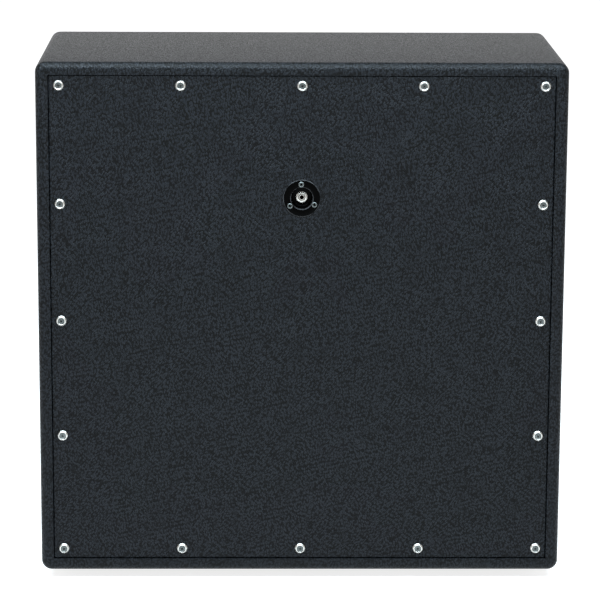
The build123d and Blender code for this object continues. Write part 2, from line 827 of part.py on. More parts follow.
def paper_cone():
    """Straight paper cone from the coil's former out to the surround."""
    inner = coil_inner_radius + coil_former + cone_play
    return turned(
        (inner, coil_neck_depth), (cone_edge_radius, cone_edge_depth),
        (cone_edge_radius, cone_edge_depth + cone_paper), (inner, coil_neck_depth + 2 * cone_paper),
    )


def dust_cap():
    """Shallow dome over the coil, standing on the cone."""
    rim = cone_depth(dust_cap_radius)
    apex = rim - dust_cap_rise
    inner_radius = dust_cap_radius - 1.5 * cone_paper
    inner_rim = cone_depth(inner_radius)
    domes = dome_arc(dust_cap_radius, apex, rim) + dome_arc(inner_radius, apex + cone_paper, inner_rim)
    ends = Line((dust_cap_radius, rim), (inner_radius, inner_rim)) + Line((0, apex + cone_paper), (0, apex))
    return revolve(make_face(domes + ends), Axis.Y)


def voice_coil():
    """Former with the winding that hangs in the magnet's gap."""
    former = coil_inner_radius + coil_former
    winding = former + coil_winding
    middle = neck_depth + top_plate / 2
    start, end = middle - coil_length / 2, middle + coil_length / 2
    return turned(
        (coil_inner_radius, coil_neck_depth), (former, coil_neck_depth), (former, start), (winding, start),
        (winding, end), (coil_inner_radius, end),
    )


def surround():
    """Waved paper edge between the cone and the flange."""
    inner = cone_edge_radius + cone_play
    outer = driver_hole_radius - 2 * driver_skin
    face = -rim_paper
    waves = waved_disc(inner, outer, cone_edge_depth, face, surround_waves, surround_wave_height, rim_paper)
    edge = driver_flange_radius - rim_inset
    rim = turned((outer, face), (edge, face), (edge, 0), (outer, 0))
    return waves + rim - bolt_holes(face, 0)


def spider():
    """Waved cloth disc that keeps the coil in the middle of its gap."""
    inner = coil_inner_radius + coil_former + cone_play
    flat = landing_depth - spider_cloth
    edge = landing_inner_radius
    waves = waved_disc(inner, edge, flat, flat, spider_waves, spider_wave_height, spider_cloth)
    outer = landing_outer_radius - 3 * driver_skin
    return waves + turned((edge, flat), (outer, flat), (outer, landing_depth), (edge, landing_depth))


def driver_gasket():
    """Card ring between the driver and the baffle."""
    front_face = -rim_paper - gasket
    ring = turned(
        (gasket_inner_radius, front_face), (driver_flange_radius, front_face),
        (driver_flange_radius, -rim_paper), (gasket_inner_radius, -rim_paper),
    )
    return ring - bolt_holes(front_face, -rim_paper)


def terminal_strip(turn):
    """Board with two solder lugs on the back of the basket's landing."""
    middle = (landing_outer_radius + landing_inner_radius) / 2
    start = landing_depth + driver_skin
    half = terminal_length / 2
    board_x = (middle - terminal_width / 2, middle + terminal_width / 2)
    lug_x = (middle - lug_plate / 2, middle + lug_plate / 2)
    lug_y = (start + terminal_board, start + terminal_board + terminal_lug_length)
    pieces = [block(board_x, (start, start + terminal_board), (-half, half))]
    for side in (-1, 1):
        lug_middle = side * terminal_length / 4
        lug_z = (lug_middle - terminal_lug_width / 2, lug_middle + terminal_lug_width / 2)
        pieces.append(block(lug_x, lug_y, lug_z))
    return [Rot(0, turn, 0) * piece for piece in pieces]


def driver_bolt(turn):
    """Bolt from behind the flange, through the baffle, into its tee nut."""
    length = driver_flange + rim_paper + gasket + baffle
    bolt = pan_screw(bolt_head_radius, bolt_head_height, bolt_radius, length, turn)
    return Pos(0, driver_flange, 0) * bolt


def tee_nut():
    """Tee nut pressed into the baffle's front face, which is at y = 0."""
    return turned(
        (bolt_radius + fit, -tee_flange), (tee_flange_radius, -tee_flange), (tee_flange_radius, 0),
        (tee_barrel_radius, 0), (tee_barrel_radius, tee_barrel_length),
        (bolt_radius + fit, tee_barrel_length),
    )


# Wiring
def lug_end(driver, lug):
    """The free end of a driver's lug."""
    x, z = driver_spots()[driver]
    towards_middle = -1 if x > 0 else 1
    radius = (landing_outer_radius + landing_inner_radius) / 2
    y = flange_front + landing_depth + driver_skin + terminal_board + terminal_lug_length
    return x + towards_middle * radius, y, z + lug * terminal_length / 4


def lug_face(driver, lug):
    """The middle of the face of a driver's lug that looks to the middle of the cabinet."""
    x, y, z = lug_end(driver, lug)
    towards_middle = -1 if x > 0 else 1
    return x + towards_middle * lug_plate / 2, y - lead_radius - lug_plate, z


def shifted(place, *offsets):
    """Points of a route, given as offsets from a place."""
    return [tuple(a + b for a, b in zip(place, offset)) for offset in offsets]


def mirrored(points):
    """The same points on the other side of the cabinet, in the opposite order."""
    return [(-x, y, z) for x, y, z in reversed(points)]


def lead_routes():
    """The way of each lead. The drivers are wired as two series pairs, and the pairs in parallel."""
    top_left, top_right, low_left, low_right = range(4)
    shelf = centre_height + post / 2 + lead_radius + clip_play
    plate_back = panel_face + dish_flange - dish_depth - dish_skin - jack_strap_thickness
    strap_end = plate_back - jack_strap_length
    strap_low = jack_z - jack_plate_size / 2
    tip = (jack_block_width / 2 + jack_lug_length - lead_radius,
           strap_end + jack_block_length - jack_lug_inset - jack_lug_width / 2,
           strap_low - jack_block_height / 2 - contact_thickness / 2)
    sleeve = (-contact_width - jack_lug_length + lead_radius, strap_end + jack_lug_width / 2, strap_low)
    post_x = post / 4
    routes = []

    hot = lug_face(top_right, -1)
    bend = shifted((post_x, plate_back, shelf), (0, -14, 50), (0, -36, 0), (0, -174, 0), (13, -206, 14))
    rise = shifted(hot, (-40, 7, -64), (-28, 0, 0))
    routes.append([tip] + shifted(tip, (0, 0, -40)) + bend + rise + [hot])

    cold = lug_face(low_left, -1)
    bend = shifted((-post_x, plate_back, shelf), (0, -14, 50), (0, -36, 0), (0, -174, 0),
                   (-19, -202, 4), (-37, -218, -26))
    drop = shifted(cold, (32, 7, 118), (32, 3, 58), (26, 0, 0))
    routes.append([sleeve] + shifted(sleeve, (0, 0, -40)) + bend + drop + [cold])

    for upper, lower in ((top_left, low_left), (top_right, low_right)):
        top, low = lug_end(upper, 1), lug_end(lower, 1)
        inward = -1 if top[0] > 0 else 1
        bow, bow_end = inward * 16, inward * 12
        fall = shifted(top, (0, 22, 0), (inward * 10, 41, -24), (bow, 33, -76), (bow, 16, -130),
                       (bow, 12, -176))
        climb = shifted(low, (bow, 16, 134), (bow, 26, 78), (bow_end, 32, 28), (0, 22, 0))
        routes.append([top] + fall + climb + [low])

    for driver in (top_right, low_right):
        right = lug_end(driver, -1)
        half = [right] + shifted(right, (0, 18, 0), (-10, 25, -9), (-40, 19, -24))
        middle = (0, right[1] + 13, right[2] - 33)
        routes.append(half + [middle] + mirrored(half))
    return routes


def lead_clips():
    """Clips that hold the feed pair down on the post."""
    inner, outer = lead_radius + fit, lead_radius + fit + clip_wall
    floor = centre_height + post / 2
    z = floor + lead_radius + clip_play
    clips = []
    for side in (-1, 1):
        x = side * post / 4
        for i in range(clips_per_lead):
            middle = panel_inside - clip_inset - clip_pitch * i
            y = (middle - clip_width / 2, middle + clip_width / 2)
            ring = bar_y(outer, *y, x, z) + block((x - outer, x + outer), y, (floor, z))
            above_post = block((x - outer, x + outer), y, (floor, z + outer))
            clips.append((ring - bar_y(inner, *y, x, z)) & above_post)
    return clips


def centre_post():
    """Post that stiffens the baffle against the back panel."""
    half = post / 2
    body = block((-half, half), (baffle_back, panel_inside), (centre_height - half, centre_height + half))
    spots = [(0.0, centre_height + side * post / 4) for side in (-1, 1)]
    tip = baffle_front + baffle_screw_length
    return body - [bar_y(screw_shank_radius + fit, baffle_back, tip, x, z) for x, z in spots]


def build():
    """Every piece of the cabinet under the name of its file."""
    pieces = case_walls()
    pieces["case_covering"] = case_covering()
    pieces["rubber_feet"] = [Pos(x, y, 0) * rubber_foot() for x, y in foot_spots()]
    pieces["foot_screws"] = [Pos(x, y, 0) * foot_screw() for x, y in foot_spots()]

    cleat_front = panel_inside - back_cleat_depth
    cleats = rail_set(inner_width, inner_height, back_cleat_width, cleat_front, panel_inside)
    screw_tip = panel_face + cup_height - panel_screw_length
    pieces["back_cleats"] = drilled_rails(cleats, panel_screw_spots(), screw_tip, panel_inside)
    pieces["back_panel"] = back_panel()
    pieces["back_panel_covering"] = back_panel_covering()
    pieces["cup_washers"] = [Pos(x, panel_face, z) * cup_washer() for x, z in panel_screw_spots()]
    pieces["back_panel_screws"] = [
        Pos(x, panel_face, z) * panel_screw(driver_turn_step * i)
        for i, (x, z) in enumerate(panel_screw_spots())
    ]

    pieces["jack_dish"] = jack_dish()
    screw_sizes = (dish_screw_radius, dish_screw_height, dish_screw_shank, dish_screw_length)
    pieces["jack_dish_screws"] = [
        Pos(x, panel_face + dish_flange, z) * pan_screw(*screw_sizes, driver_turn_step * (i + 1))
        for i, (x, z) in enumerate(dish_screw_spots())
    ]
    pieces.update(jack_parts())

    pieces["baffle_board"] = baffle_board()
    pieces["front_cleats"] = front_cleats()
    pieces["baffle_screws"] = [
        Pos(x, baffle_front, z) * baffle_screw(driver_turn_step * i)
        for i, (x, z) in enumerate(baffle_screw_spots())
    ]
    pieces["centre_post"] = centre_post()
    pieces["grille_frame"] = rail_set(
        grille_width - 2 * cloth, grille_height - 2 * cloth, rail_width, rail_front, rail_back
    )
    pieces["grille_cloth"] = grille_cloth()
    pieces["grille_pads"] = grille_pads()
    pieces["piping"] = piping()

    for name, side in (("left", -1), ("right", 1)):
        pieces[f"{name}_handle_dish"] = handle_dish(side)
        pieces[f"{name}_handle_grip"] = handle_grip(side)
    pieces["handle_rods"] = [handle_rod(side) for side in (-1, 1)]
    pieces["handle_screws"] = handle_screws()

    spots = driver_spots()
    for number, (x, z) in enumerate(spots, start=1):
        place = Pos(x, flange_front, z)
        pieces[f"basket_{number}"] = place * basket()
        pieces[f"cone_{number}"] = place * paper_cone()
        pieces[f"dust_cap_{number}"] = place * dust_cap()
        pieces[f"voice_coil_{number}"] = place * voice_coil()
    for name, make in (("magnets", magnet_ring), ("surrounds", surround), ("spiders", spider),
                       ("driver_gaskets", driver_gasket)):
        pieces[name] = [Pos(x, flange_front, z) * make() for x, z in spots]
    pieces["motor_steel"] = [
        Pos(x, flange_front, z) * make() for x, z in spots for make in (motor_plate, pole_piece)
    ]
    pieces["driver_terminals"] = [
        Pos(x, flange_front, z) * piece for x, z in spots for piece in terminal_strip(180 if x > 0 else 0)
    ]
    pieces["driver_bolts"] = [
        Pos(x, flange_front, z) * driver_bolt(driver_turn_step * i) for i, (x, z) in enumerate(bolt_spots())
    ]
    pieces["tee_nuts"] = [Pos(x, baffle_front, z) * tee_nut() for x, z in bolt_spots()]
    pieces["speaker_leads"] = [tube_along(route, lead_radius) for route in lead_routes()]
    pieces["lead_clips"] = lead_clips()
    return pieces


def save(pieces):
    """Write each piece to its own file."""
    os.makedirs("parts", exist_ok=True)
    for name, shape in pieces.items():
        solids = shape if isinstance(shape, list) else [shape]
        flat = [solid for item in solids for solid in item.solids()]
        export_step(Compound(children=flat) if len(flat) > 1 else flat[0], f"parts/{name}.step")
    print(len(pieces), "files")


save(build())
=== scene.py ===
"""Looks for a straight-fronted guitar speaker cabinet, seen from behind.

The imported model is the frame. Its X runs to the right as seen from the front, Y from the front
to the back and Z upwards, in metres, and the floor lies at z = 0.
"""

import logging
from collections.abc import Callable, Sequence
from dataclasses import dataclass
from enum import Enum
from math import cos, pi, radians, sin

import bmesh
import bpy
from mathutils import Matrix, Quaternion, Vector, noise


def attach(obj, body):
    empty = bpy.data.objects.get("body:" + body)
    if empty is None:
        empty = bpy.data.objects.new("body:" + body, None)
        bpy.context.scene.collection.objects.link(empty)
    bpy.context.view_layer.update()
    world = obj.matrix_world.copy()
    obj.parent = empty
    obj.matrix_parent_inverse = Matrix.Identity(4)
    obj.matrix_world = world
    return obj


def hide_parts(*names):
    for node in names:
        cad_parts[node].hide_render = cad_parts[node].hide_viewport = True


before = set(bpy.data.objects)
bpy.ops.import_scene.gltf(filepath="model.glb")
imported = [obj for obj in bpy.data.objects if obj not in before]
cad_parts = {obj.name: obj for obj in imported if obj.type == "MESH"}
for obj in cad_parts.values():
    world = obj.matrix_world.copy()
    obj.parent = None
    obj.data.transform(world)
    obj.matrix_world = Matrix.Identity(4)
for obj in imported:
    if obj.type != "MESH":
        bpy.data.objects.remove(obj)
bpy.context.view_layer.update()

LOG = logging.getLogger("cabinet")
BODY = "cabinet"
RECESS = "recess"
MM = 0.001
POLE = 0.01 * MM
CENTRE_RISE = 0.396
CENTRE = Vector((0.0, 0.0, CENTRE_RISE))

# Places in millimetres: the panel's outer face, where the vinyl ends, and the jack over the middle
PANEL_FACE = 180.0
VINYL_END = 164.2
JACK_RISE = 183.0
COVER = 0.8
ROLL_STEPS = 4

# Where cloudy noise starts and stops to count
CLOUD = (0.3, 0.7)

Colour = tuple[float, float, float]
Point = tuple[float, float, float]
Outline = Sequence[tuple[float, float]]
Piece = bpy.types.Object
Socket = bpy.types.NodeSocket
Value = Socket | float | Sequence[float]


class Cut(Enum):
    """How one solid changes another."""

    TAKE_AWAY = "DIFFERENCE"
    KEEP_COMMON = "INTERSECT"


class Along(Enum):
    """The axis that wood grain or a brushed finish runs along, as a stretch of its pattern."""

    X = (0.06, 1.0, 1.0)
    Y = (1.0, 0.06, 1.0)
    Z = (1.0, 1.0, 0.06)
    NONE = (1.0, 1.0, 1.0)


# Materials

class Board:
    """The node tree of one material, with a short call for each kind of node in use."""

    def __init__(self, name: str) -> None:
        """Start a material.

        Args:
            name: The material's name.
        """
        self.material = bpy.data.materials.new(name)
        self.material.use_nodes = True
        self.tree = self.material.node_tree
        self.shader = self.tree.nodes["Principled BSDF"]
        self.place = self.node("ShaderNodeTexCoord").outputs["Object"]

    def node(
        self, kind: str, inputs: dict[str | int, Value] | None = None, **settings: object,
    ) -> bpy.types.Node:
        """Add a node.

        Args:
            kind: Blender's name of the node's type.
            inputs: What each input gets, a socket to link or a constant.
            settings: The node's own properties.

        Returns:
            The new node.
        """
        made = self.tree.nodes.new(kind)
        for key, value in settings.items():
            setattr(made, key, value)
        for key, value in (inputs or {}).items():
            self.feed(made.inputs[key], value)
        return made

    def feed(self, socket: Socket, value: Value) -> None:
        """Link a socket to another one, or set its constant."""
        if isinstance(value, Socket):
            self.tree.links.new(value, socket)
        else:
            socket.default_value = value

    def shade(self, **inputs: Value) -> None:
        """Feed the shader. Underscores in the names stand for spaces."""
        for key, value in inputs.items():
            self.feed(self.shader.inputs[key.replace("_", " ")], value)

    def stretched(self, stretch: Point) -> Socket:
        """Object coordinates, stretched along each axis."""
        return self.vector("MULTIPLY", self.place, stretch)

    def vector(self, operation: str, *inputs: Value) -> Socket:
        """One sum on vectors."""
        return self.node("ShaderNodeVectorMath", dict(enumerate(inputs)), operation=operation).outputs[0]

    def noise(self, scale: float, detail: float = 2.0, at: Socket | None = None) -> Socket:
        """Cloudy noise from 0 to 1.

        Args:
            scale: Waves in a metre.
            detail: How many finer layers it has.
            at: Where it is read, by default at the object coordinates.

        Returns:
            The value socket.
        """
        made = self.node("ShaderNodeTexNoise", {"Vector": at or self.place, "Scale": scale, "Detail": detail})
        return made.outputs[0]

    def maths(self, operation: str, first: Value, second: Value = 0.0) -> Socket:
        """One sum on two values."""
        return self.node("ShaderNodeMath", {0: first, 1: second}, operation=operation).outputs[0]

    def spread(
        self, value: Value, low: float, high: float, to_low: float = 0.0, to_high: float = 1.0,
    ) -> Socket:
        """Move a value from one range to another, smoothly and clamped.

        Args:
            value: The value to move.
            low: The start of its range.
            high: The end of its range.
            to_low: What the start becomes.
            to_high: What the end becomes.

        Returns:
            The moved value.
        """
        inputs = {0: value, 1: low, 2: high, 3: to_low, 4: to_high}
        return self.node("ShaderNodeMapRange", inputs, interpolation_type="SMOOTHSTEP").outputs[0]

    def tint(self, value: Value, first: Value, last: Value) -> Socket:
        """A colour between two colours, each a constant or a socket."""
        first, last = (end if isinstance(end, Socket) else (*end, 1.0) for end in (first, last))
        inputs = {0: value, 6: first, 7: last}
        return self.node("ShaderNodeMix", inputs, data_type="RGBA").outputs[2]

    def relief(self, height: Value, distance: float) -> Socket:
        """Turn a height into a normal.

        Args:
            height: The height, from 0 to 1.
            distance: How high 1 stands, in metres.

        Returns:
            The normal socket.
        """
        inputs = {"Height": height, "Distance": distance, "Strength": 1.0}
        return self.node("ShaderNodeBump", inputs).outputs[0]


@dataclass(frozen=True)
class Finish:
    """What all finishes share.

    Attributes:
        slot: The record's material slot.
        colour: Linear base colour.
        roughness: Roughness in its middle.
        label: The material's own name where two finishes share a slot.
    """

    slot: str
    colour: Colour
    roughness: float
    label: str = ""

    def material(self) -> bpy.types.Material:
        """The finish as a material, made once."""
        name = f"{self.label or self.slot}_finish"
        found = bpy.data.materials.get(name)
        if found is None:
            board = Board(name)
            self.paint(board)
            found = board.material
        return found

    def paint(self, board: Board) -> None:
        """Wire the finish's nodes.

        Args:
            board: The material's board.
        """
        raise NotImplementedError

    def darker(self, share: float) -> Colour:
        """The base colour times a share."""
        return tuple(channel * share for channel in self.colour)


@dataclass(frozen=True)
class Vinyl(Finish):
    """Black vinyl cloth with a leathery grain: pebbles between grooves, and creases that lean two ways.

    Attributes:
        pebbles: Pebbles in a metre.
        depth: Depth of the grooves between them, in metres.
        gloss: The shader's specular level.
        groove_shade: Share of the colour left in the grooves, a painted shade.
        crown_highlight: Share of the colour on the pebbles' tops, a painted highlight.
        leans: The two turns of the creases, in degrees about X and Y.
        drawn_out: How much longer than wide a crease is.
        wander: How far noise shifts the pattern, as a share of a pebble.
        shares: How much of the height is creases, pebbles and fine wrinkles.
        mixing: Waves in a metre of the cloud that picks one lean or the other.
        patches: Waves in a metre of the cloud that varies the colour.
    """

    pebbles: float = 420.0
    depth: float = 0.38 * MM
    gloss: float = 0.11
    groove_shade: float = 0.02
    crown_highlight: float = 5.6
    leans: tuple[tuple[float, float], tuple[float, float]] = ((-25.0, -40.0), (25.0, 12.0))
    drawn_out: float = 2.4
    wander: float = 0.4
    shares: tuple[float, float, float] = (0.75, 0.15, 0.1)
    mixing: float = 24.0
    patches: float = 22.0

    def paint(self, board: Board) -> None:
        """Wire the pebbles, the creases and fine wrinkles, with a painted shade in the grooves and a painted
        highlight on the pebbles' tops.
        """
        read = {"Vector": board.place, "Scale": self.pebbles}
        cloud = board.node("ShaderNodeTexNoise", read).outputs["Color"]
        centred = board.vector("SUBTRACT", cloud, (0.5,) * 3)
        shift = board.vector("MULTIPLY_ADD", centred, (self.wander / self.pebbles,) * 3, board.place)
        first, second = (self.creases(board, shift, lean) for lean in self.leans)
        where = board.spread(board.noise(self.mixing, 1.0), 0.42, 0.58)
        creases = board.node("ShaderNodeMix", {0: where, 2: first, 3: second}).outputs[0]
        edge = board.node(
            "ShaderNodeTexVoronoi", {"Vector": shift, "Scale": self.pebbles, "Randomness": 0.9},
            feature="DISTANCE_TO_EDGE",
        ).outputs["Distance"]
        cells = board.spread(edge, 0.02, 0.30)
        fine = board.noise(self.pebbles * 5.0, 3.0)
        parts = [board.maths("MULTIPLY", *pair) for pair in zip((creases, cells, fine), self.shares)]
        height = board.maths("ADD", parts[0], board.maths("ADD", parts[1], parts[2]))
        patch = board.spread(board.noise(self.patches, 3.0), *CLOUD, 0.9, 1.1)
        # The colour follows the height: painted shade in the grooves and a painted highlight on the pebbles'
        # tops, with cloudy patches of tone.
        shade = board.maths("MULTIPLY", board.spread(height, 0.15, 0.85), patch)
        board.shade(
            Base_Color=board.tint(shade, self.darker(self.groove_shade), self.darker(self.crown_highlight)),
            Roughness=board.spread(height, 0.1, 0.95, self.roughness + 0.15, self.roughness - 0.06),
            Specular_IOR_Level=self.gloss,
            Normal=board.relief(height, self.depth),
        )

    def creases(self, board: Board, at: Socket, lean: tuple[float, float]) -> Socket:
        """Short creases that lean one way.

        Args:
            board: The material's board.
            at: Where the pattern is read.
            lean: Their turn about X and Y, in degrees.

        Returns:
            Their height.
        """
        inputs = {
            "Vector": at, "Rotation": (radians(lean[0]), radians(lean[1]), 0.0),
            "Scale": (1.0, 1.0, self.drawn_out),
        }
        turned = board.node("ShaderNodeMapping", inputs, vector_type="TEXTURE").outputs[0]
        cells = {"Vector": turned, "Scale": self.pebbles, "Randomness": 0.75}
        middle = board.node("ShaderNodeTexVoronoi", cells, feature="F1").outputs["Distance"]
        return board.spread(middle, 0.28, 0.70, 1.0, 0.0)


@dataclass(frozen=True)
class Metal(Finish):
    """Plated, painted over or bare metal.

    Attributes:
        brushed: The direction of its fine lines.
        wear: How much the roughness varies.
        tarnish: Share of the colour left where it is dullest.
        recess_shade: Share of the colour left in a screw's recess, a painted shade.
        lines: Fine lines in a metre.
        line_depth: Their depth in metres.
        patches: Dull patches in a metre.
    """

    brushed: Along = Along.NONE
    wear: float = 0.08
    tarnish: float = 0.8
    recess_shade: float = 0.08
    lines: float = 2600.0
    line_depth: float = 0.012 * MM
    patches: float = 90.0

    def paint(self, board: Board) -> None:
        """Wire fine lines, dull patches, a faint unevenness and a painted shade in a screw's recess."""
        lines = board.noise(self.lines, 3.0, board.stretched(self.brushed.value))
        patch = board.noise(self.patches, 4.0)
        plated = board.tint(board.spread(patch, *CLOUD), self.darker(self.tarnish), self.colour)
        # A screw's recess gets a painted shade: its colour falls to a share of the plated colour.
        recess = board.node("ShaderNodeAttribute", attribute_name=RECESS).outputs["Fac"]
        dullest, brightest = self.roughness + self.wear, self.roughness - self.wear / 2
        board.shade(
            Base_Color=board.tint(recess, plated, self.darker(self.recess_shade)),
            Metallic=1.0,
            Roughness=board.spread(patch, 0.25, 0.75, dullest, brightest),
            Normal=board.relief(lines, self.line_depth),
        )


@dataclass(frozen=True)
class Moulded(Finish):
    """Moulded plastic, rubber, paint or lacquer.

    Attributes:
        grain: Waves of its surface in a metre.
        depth: Height of that surface in metres.
        gloss: The shader's specular level.
        dust: Share by which its colour brightens in patches.
        patches: Those patches in a metre.
        scuffs: Rougher spots in a metre.
    """

    grain: float = 1500.0
    depth: float = 0.03 * MM
    gloss: float = 0.5
    dust: float = 1.35
    patches: float = 45.0
    scuffs: float = 160.0

    def paint(self, board: Board) -> None:
        """Wire a fine texture, and patches where the surface is duller."""
        patch = board.spread(board.noise(self.patches, 4.0), 0.35, 0.7)
        scuff = board.noise(self.scuffs, 3.0)
        board.shade(
            Base_Color=board.tint(patch, self.colour, self.darker(self.dust)),
            Roughness=board.spread(scuff, *CLOUD, self.roughness - 0.04, self.roughness + 0.07),
            Specular_IOR_Level=self.gloss,
            Normal=board.relief(board.noise(self.grain, 3.0), self.depth),
        )


@dataclass(frozen=True)
class RimHighlightPlastic(Moulded):
    """Glossy moulded plastic of the jack dish, with a painted highlight along its two rims.

    Attributes:
        rims: Start and end of each painted highlight ring about the jack's axis, in metres.
        rim_highlight: Colour of the painted highlight on the rims.
        axis: Where the jack's axis lies on X and Z.
    """

    rims: tuple[tuple[float, float], ...] = ((0.0156, 0.0172), (0.0260, 0.0282))
    rim_highlight: Colour = (0.032, 0.032, 0.033)
    axis: tuple[float, float] = (0.0, CENTRE_RISE + JACK_RISE * MM)

    def paint(self, board: Board) -> None:
        """Wire the moulded plastic and lay the painted highlight rings over its colour."""
        super().paint(board)
        apart = board.vector("SUBTRACT", board.place, (self.axis[0], 0.0, self.axis[1]))
        flat = board.vector("MULTIPLY", apart, (1.0, 0.0, 1.0))
        reach = board.node("ShaderNodeVectorMath", {0: flat}, operation="LENGTH").outputs["Value"]
        # Paler rings at the mouth and the outer edge: a painted highlight where the rounded rims catch light,
        # broken up by noise.
        highlit = 0.0
        for start, end in self.rims:
            rise = board.spread(reach, start, (start + end) / 2)
            fall = board.spread(reach, (start + end) / 2, end, 1.0, 0.0)
            highlit = board.maths("ADD", highlit, board.maths("MULTIPLY", rise, fall))
        rim_highlight = board.maths("MULTIPLY", highlit, board.spread(board.noise(140.0, 2.0), 0.3, 0.6, 0.15, 1.0))
        plain = board.shader.inputs["Base Color"].links[0].from_socket
        board.shade(Base_Color=board.tint(rim_highlight, plain, self.rim_highlight))


@dataclass(frozen=True)
class Wood(Finish):
    """Bare plywood or softwood.

    Attributes:
        dark: Colour of the late wood.
        grain: The direction it runs in.
        rings: Growth rings in a metre.
    """

    dark: Colour = (0.30, 0.17, 0.08)
    grain: Along = Along.Z
    rings: float = 70.0

    def paint(self, board: Board) -> None:
        """Wire growth rings with pores and fine fibres."""
        along = board.stretched(self.grain.value)
        rings = board.spread(board.noise(self.rings, 4.0, along), 0.4, 0.62)
        pores = board.spread(board.noise(self.rings * 22, 2.0, along), 0.56, 0.68)
        height = board.maths("SUBTRACT", rings, board.maths("MULTIPLY", pores, 0.8))
        plain = board.tint(rings, self.colour, self.dark)
        board.shade(
            Base_Color=board.tint(pores, plain, self.dark),
            Roughness=board.spread(rings, 0.0, 1.0, self.roughness + 0.05, self.roughness - 0.08),
            Normal=board.relief(height, 0.08 * MM),
        )


@dataclass(frozen=True)
class Fibre(Finish):
    """Paper, card or felted cloth.

    Attributes:
        fibre: Fibres in a metre.
        depth: Height of the fibres in metres.
    """

    fibre: float = 900.0
    depth: float = 0.06 * MM

    def paint(self, board: Board) -> None:
        """Wire matted fibres with cloudy pulp behind them."""
        matted = board.noise(self.fibre, 6.0)
        cloud = board.spread(board.noise(60.0, 4.0), *CLOUD)
        board.shade(
            Base_Color=board.tint(cloud, self.darker(0.7), self.colour),
            Roughness=board.spread(matted, *CLOUD, self.roughness + 0.06, self.roughness - 0.06),
            Specular_IOR_Level=0.3,
            Normal=board.relief(matted, self.depth),
        )


@dataclass(frozen=True)
class Weave(Finish):
    """Plain woven cloth whose threads run along X and Z.

    Attributes:
        fleck: Colour of the lighter threads.
        pitch: Distance between threads in metres.
        depth: Height of a thread in metres.
    """

    fleck: Colour = (0.22, 0.22, 0.23)
    pitch: float = 1.5 * MM
    depth: float = 0.35 * MM

    def paint(self, board: Board) -> None:
        """Wire threads that pass over and under each other, some of them light."""
        axes = board.node("ShaderNodeSeparateXYZ", {0: board.place}).outputs
        turn = pi / self.pitch
        warp = board.maths("SINE", board.maths("MULTIPLY", axes["X"], turn))
        weft = board.maths("SINE", board.maths("MULTIPLY", axes["Z"], turn))
        over = board.maths("MULTIPLY", warp, weft)
        threads = board.spread(over, -1.0, 1.0)
        gaps = board.maths("MULTIPLY", board.maths("ABSOLUTE", warp), board.maths("ABSOLUTE", weft))
        fibres = board.noise(2400.0, 3.0)
        height = board.maths("ADD", board.maths("MULTIPLY", gaps, 0.8), board.maths("MULTIPLY", fibres, 0.2))
        streaks = board.noise(0.7 / self.pitch, 1.0, board.stretched((0.3, 1.0, 1.0)))
        light = board.maths("MULTIPLY", threads, board.spread(streaks, 0.52, 0.70, 0.0, 0.5))
        dark = board.tint(gaps, self.darker(0.25), self.colour)
        board.shade(
            Base_Color=board.tint(light, dark, self.fleck),
            Roughness=board.spread(fibres, *CLOUD, self.roughness + 0.08, self.roughness - 0.08),
            Specular_IOR_Level=0.3,
            Sheen_Weight=0.2,
            Normal=board.relief(height, self.depth),
        )


VINYL = Vinyl("vinyl", (0.00125, 0.00140, 0.00165), 0.34)
NICKEL = Metal("bright_nickel", (0.52, 0.50, 0.46), 0.26, wear=0.06, tarnish=0.9)
# The jack dish's near-black plastic, with a painted highlight along its rims.
DISH = RimHighlightPlastic("dish_plastic", (0.0003,) * 3, 0.10, grain=300.0, depth=0.01 * MM, gloss=0.025, dust=1.2)
GRILLE = Weave("grille_cloth", (0.03, 0.03, 0.032), 0.8)
PIPING = Moulded("piping", (0.62, 0.58, 0.48), 0.42, grain=1800.0, depth=0.05 * MM, dust=0.92)
RUBBER = Moulded("rubber", (0.018, 0.018, 0.018), 0.72, grain=1100.0, depth=0.06 * MM, gloss=0.35)
HANDLE = Moulded("handle_plastic", (0.014, 0.014, 0.015), 0.48, grain=1700.0, depth=0.07 * MM, gloss=0.4)
ZINC = Metal("zinc_steel", (0.72, 0.72, 0.70), 0.30)
BLACK_STEEL = Metal("black_steel", (0.07, 0.07, 0.075), 0.34)



def of_drivers(name: str) -> tuple[str, ...]:
    """The CAD nodes of one kind in all four drivers."""
    return tuple(f"{name}_{number}" for number in range(1, 5))


